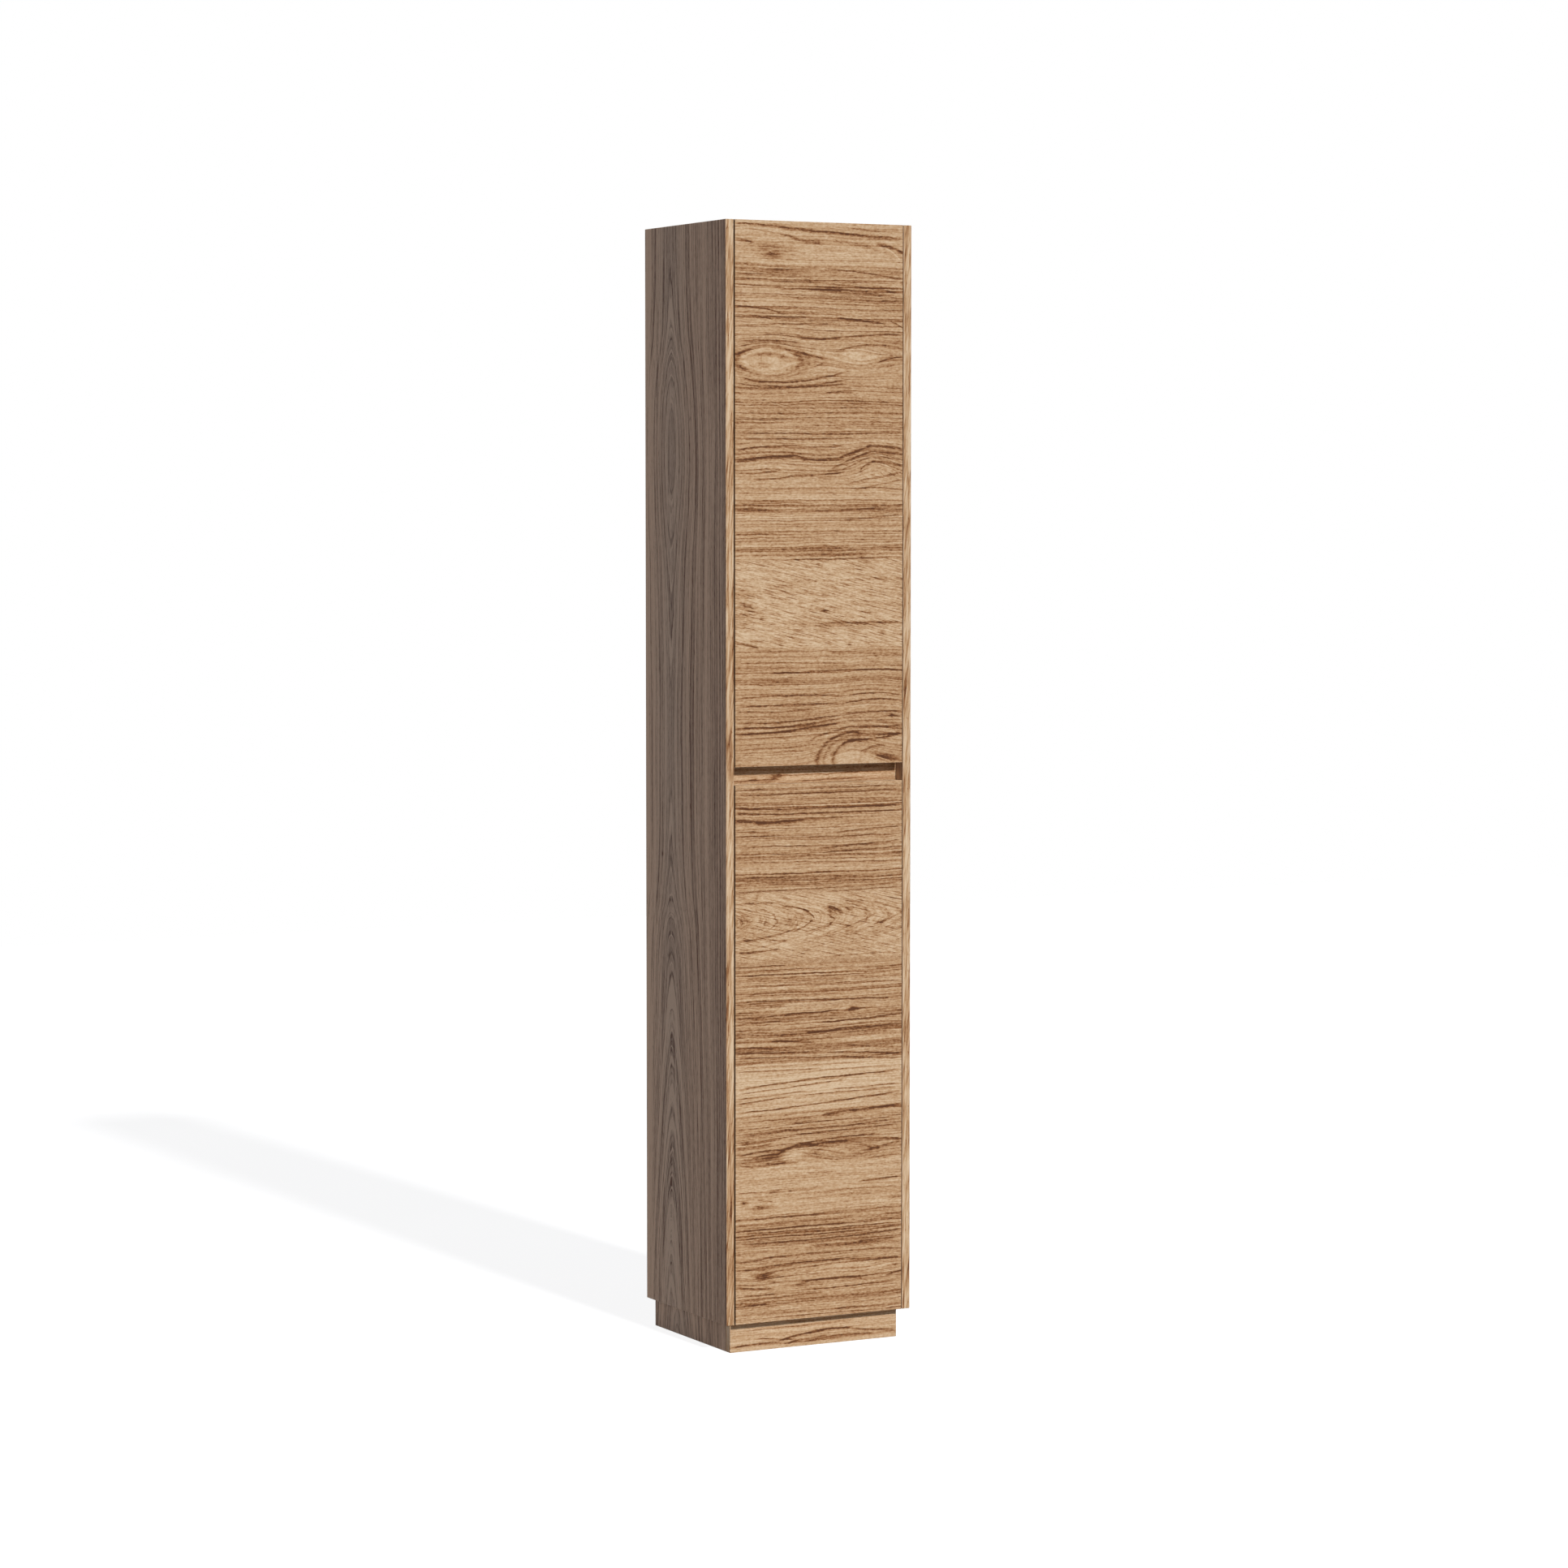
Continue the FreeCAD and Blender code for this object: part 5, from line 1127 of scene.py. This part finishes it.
def ring_on(shape, loop, radius, height):
    """Extrude a loop of edges to a ring of a new radius and height about the upright axis."""
    made = bmesh.ops.extrude_edge_only(shape, edges=loop)["geom"]
    for point in made:
        if isinstance(point, bmesh.types.BMVert):
            flat = Vector((point.co.x, point.co.y, 0.0)).normalized() * radius
            point.co = (flat.x, flat.y, height)
    return [edge for edge in made if isinstance(edge, bmesh.types.BMEdge) and edge.is_boundary]


def add_screw(shape, place, head, height, shank, length):
    """Add a pan-head screw with a cross recess and a threaded shank."""
    old = set(shape.verts)
    cell = RECESS_CELL * head
    bmesh.ops.create_grid(shape, x_segments=8, y_segments=8, size=4 * cell,
                          matrix=Matrix.Translation((0.0, 0.0, height)))
    top = [face for face in shape.faces if face.verts[0] not in old]
    middles = [(face, face.calc_center_median()) for face in top]
    cross = [face for face, spot in middles
             if min(abs(spot.x), abs(spot.y)) < cell and max(abs(spot.x), abs(spot.y)) < 3 * cell]
    loop = [edge for edge in {edge for face in top for edge in face.edges} if edge.is_boundary]
    sunk = bmesh.ops.extrude_face_region(shape, geom=cross)["geom"]
    bmesh.ops.delete(shape, geom=cross, context="FACES")
    sunk = [item for item in sunk if isinstance(item, bmesh.types.BMVert)]
    bmesh.ops.translate(shape, verts=sunk, vec=(0.0, 0.0, -RECESS_DEPTH * height))
    bmesh.ops.scale(shape, verts=sunk, vec=RECESS_TAPER)
    for width, level in HEAD_RINGS:
        loop = ring_on(shape, loop, width * head, level * height)
    loop = ring_on(shape, loop, shank, 0.0)
    pitch = length / (THREAD_TURNS + 1)
    for turn in range(THREAD_TURNS):
        loop = ring_on(shape, loop, shank, -pitch * (turn + THREAD_CREST))
        loop = ring_on(shape, loop, ROOT_RADIUS * shank, -pitch * (turn + THREAD_ROOT))
    loop = ring_on(shape, loop, TIP_RADIUS * shank, -length)
    bmesh.ops.edgeloop_fill(shape, edges=loop)
    new = [vertex for vertex in shape.verts if vertex not in old]
    bmesh.ops.transform(shape, matrix=place, verts=new)


class CABINET_OT_doors(bpy.types.Operator):
    """Dress the doors, the finger rail and the plinth front in the drawn decor with level grain"""
    bl_idname = "cabinet.doors"
    bl_label = "Doors and front boards"

    def execute(self, context):
        dress("upper_door_panel", drawn_decor(
            "upper_door_decor", UPPER_STROKES, UPPER_SMUDGES, UPPER_STAVES, UPPER_EYES, UPPER_SWELLS))
        dress("lower_door_panel", drawn_decor(
            "lower_door_decor", LOWER_STROKES, LOWER_SMUDGES, LOWER_STAVES, LOWER_EYES, LOWER_SWELLS,
            LOWER_CHEVRONS))
        dress("finger_rail", drawn_decor("finger_rail_decor", RAIL_STROKES, RAIL_SMUDGES, RAIL_STAVES))
        dress("plinth_front", drawn_decor(
            "plinth_front_decor", PLINTH_STROKES, PLINTH_SMUDGES, PLINTH_STAVES))
        return {"FINISHED"}


class CABINET_OT_panels(bpy.types.Operator):
    """Dress the side panels, the plinth sides, the back and the boards inside in the quieter decor"""
    bl_idname = "cabinet.panels"
    bl_label = "Panels and shelves"

    def execute(self, context):
        for node, (axes, heart, seed) in PLAIN_BOARDS.items():
            drawn = (LEFT_CLIMBS, LEFT_SPOTS_AND_PAINTED_HIGHLIGHT) if node == "side_panel_left" else ()
            dress(node, heart_decor(node, axes, heart, seed, *drawn))
        return {"FINISHED"}


class CABINET_OT_hinges(bpy.types.Operator):
    """Round the edges of the hinge cups, arms, plates and pins"""
    bl_idname = "cabinet.hinges"
    bl_label = "Hinges"

    def execute(self, context):
        round_nodes(hinge_cups=0.25, hinge_arms=0.35, hinge_plates=0.5, hinge_pins=0.2)
        return {"FINISHED"}


class CABINET_OT_screws(bpy.types.Operator):
    """Replace the plain screws by pan-head screws with a cross recess and a thread"""
    bl_idname = "cabinet.screws"
    bl_label = "Screws"

    def execute(self, context):
        for node in NODES:
            if node.endswith("screws"):
                shape = bmesh.new()
                for points in solids_of(node):
                    add_screw(shape, *screw_measures(points))
                bmesh.ops.recalc_face_normals(shape, faces=shape.faces)
                finish_piece(node, shape)
        return {"FINISHED"}


class CABINET_OT_catches(bpy.types.Operator):
    """Round the edges of the magnetic catches, the strike plates and the door bumpers"""
    bl_idname = "cabinet.catches"
    bl_label = "Catches and bumpers"

    def execute(self, context):
        round_nodes(catch_housing=0.9, catch_magnet=0.3, strike_plate=0.35, door_bumpers=1.1)
        return {"FINISHED"}


class CABINET_OT_supports(bpy.types.Operator):
    """Round the edges of the shelf pins"""
    bl_idname = "cabinet.supports"
    bl_label = "Shelf pins"

    def execute(self, context):
        round_nodes(shelf_pins=0.35)
        return {"FINISHED"}


class CABINET_OT_joinery(bpy.types.Operator):
    """Round the edges of the cam locks, cam bolts, dowels and corner blocks"""
    bl_idname = "cabinet.joinery"
    bl_label = "Joinery"

    def execute(self, context):
        round_nodes(cam_locks=0.4, cam_bolts=0.3, dowels=0.9, plinth_blocks=0.8)
        return {"FINISHED"}


class CABINET_OT_stage(bpy.types.Operator):
    """Set the floor, the light and the camera"""
    bl_idname = "cabinet.stage"
    bl_label = "Stage"

    def execute(self, context):
        stage = context.scene.cabinet_stage
        self.floor(context, stage)
        self.light(context, stage)
        self.camera(context, stage)
        context.scene.view_settings.view_transform = "Standard"
        return {"FINISHED"}

    def floor_material(self, glow):
        """White for the camera where nothing shades it, and a pale floor for the light."""
        material, tree = new_material("pale_floor")
        strength = tree.times(tree.seen(), glow)
        mottle = tree.noise(place_in_millimetres(tree)[0], (700.0, 700.0, 700.0))
        shade = tree.ramp(mottle, ((0.3, (0.33, 0.33, 0.33)), (0.7, (0.37, 0.37, 0.37))))
        surface = tree.node("ShaderNodeBsdfPrincipled", {
            "Base Color": shade, "Roughness": 0.9, "Specular IOR Level": 0.0, "Emission Color": WHITE,
            "Emission Strength": strength})
        tree.node("ShaderNodeOutputMaterial", {"Surface": surface.outputs[0]})
        return material

    def floor(self, context, stage):
        mesh = bpy.data.meshes.new("floor")
        shape = bmesh.new()
        bmesh.ops.create_grid(shape, x_segments=1, y_segments=1, size=stage.floor_size / 2)
        shape.to_mesh(mesh)
        shape.free()
        mesh.materials.append(self.floor_material(stage.floor_glow))
        floor = bpy.data.objects.new("floor", mesh)
        context.scene.collection.objects.link(floor)

    def light(self, context, stage):
        self.sun(context, "key", stage.key_height, stage.key_turn, stage.key_strength, stage.key_spread)
        for name, turn in (("left_fill", stage.left_fill), ("back_fill", stage.back_fill)):
            fill = self.sun(context, name, stage.fill_height, turn, stage.fill_strength, stage.fill_spread)
            fill.color = stage.fill_colour
        world = bpy.data.worlds.new("studio")
        world.use_nodes = True
        world.node_tree.nodes.clear()
        tree = Tree(world.node_tree)
        shade = tree.mix(tree.seen(), (*stage.ambient, 1.0), WHITE)
        background = tree.node("ShaderNodeBackground", {"Color": shade, "Strength": 1.0})
        tree.node("ShaderNodeOutputWorld", {"Surface": background.outputs[0]})
        context.scene.world = world

    def sun(self, context, name, height, turn, strength, spread):
        """A light from far away, at a height above the floor and a turn from straight ahead."""
        light = bpy.data.lights.new(name, "SUN")
        light.energy = strength
        light.angle = spread
        sun = bpy.data.objects.new(name, light)
        sun.rotation_euler = (math.pi / 2 - height, 0.0, turn)
        context.scene.collection.objects.link(sun)
        return light

    def camera(self, context, stage):
        lens = bpy.data.cameras.new("camera")
        lens.lens = stage.lens
        lens.sensor_width = SENSOR_WIDTH
        camera = bpy.data.objects.new("camera", lens)
        camera.location = stage.camera_place
        camera.rotation_euler = (stage.camera_tilt, 0.0, stage.camera_turn)
        context.scene.collection.objects.link(camera)
        context.scene.camera = camera


OPERATORS = (CABINET_OT_doors, CABINET_OT_panels, CABINET_OT_hinges, CABINET_OT_screws, CABINET_OT_catches,
             CABINET_OT_supports, CABINET_OT_joinery, CABINET_OT_stage)


class CABINET_PT_sidebar(bpy.types.Panel):
    """Lists the steps that dress the cabinet"""
    bl_idname = "CABINET_PT_sidebar"
    bl_label = "Tall cabinet"
    bl_space_type = "VIEW_3D"
    bl_region_type = "UI"
    bl_category = "Cabinet"

    def draw(self, context):
        for operator in OPERATORS:
            self.layout.operator(operator.bl_idname)


GROUPS = {"cabinet_decor": CabinetDecor, "cabinet_hardware": CabinetHardware, "cabinet_stage": CabinetStage}


def register():
    for item in (*GROUPS.values(), *OPERATORS, CABINET_PT_sidebar):
        bpy.utils.register_class(item)
    for name, group in GROUPS.items():
        setattr(bpy.types.Scene, name, PointerProperty(type=group))


def unregister():
    for name in GROUPS:
        delattr(bpy.types.Scene, name)
    for item in (CABINET_PT_sidebar, *OPERATORS, *GROUPS.values()):
        bpy.utils.unregister_class(item)


def main():
    register()
    bpy.ops.cabinet.doors()
    bpy.ops.cabinet.panels()
    bpy.ops.cabinet.hinges()
    bpy.ops.cabinet.screws()
    bpy.ops.cabinet.catches()
    bpy.ops.cabinet.supports()
    bpy.ops.cabinet.joinery()
    bpy.ops.cabinet.stage()


if __name__ == "__main__":
    main()
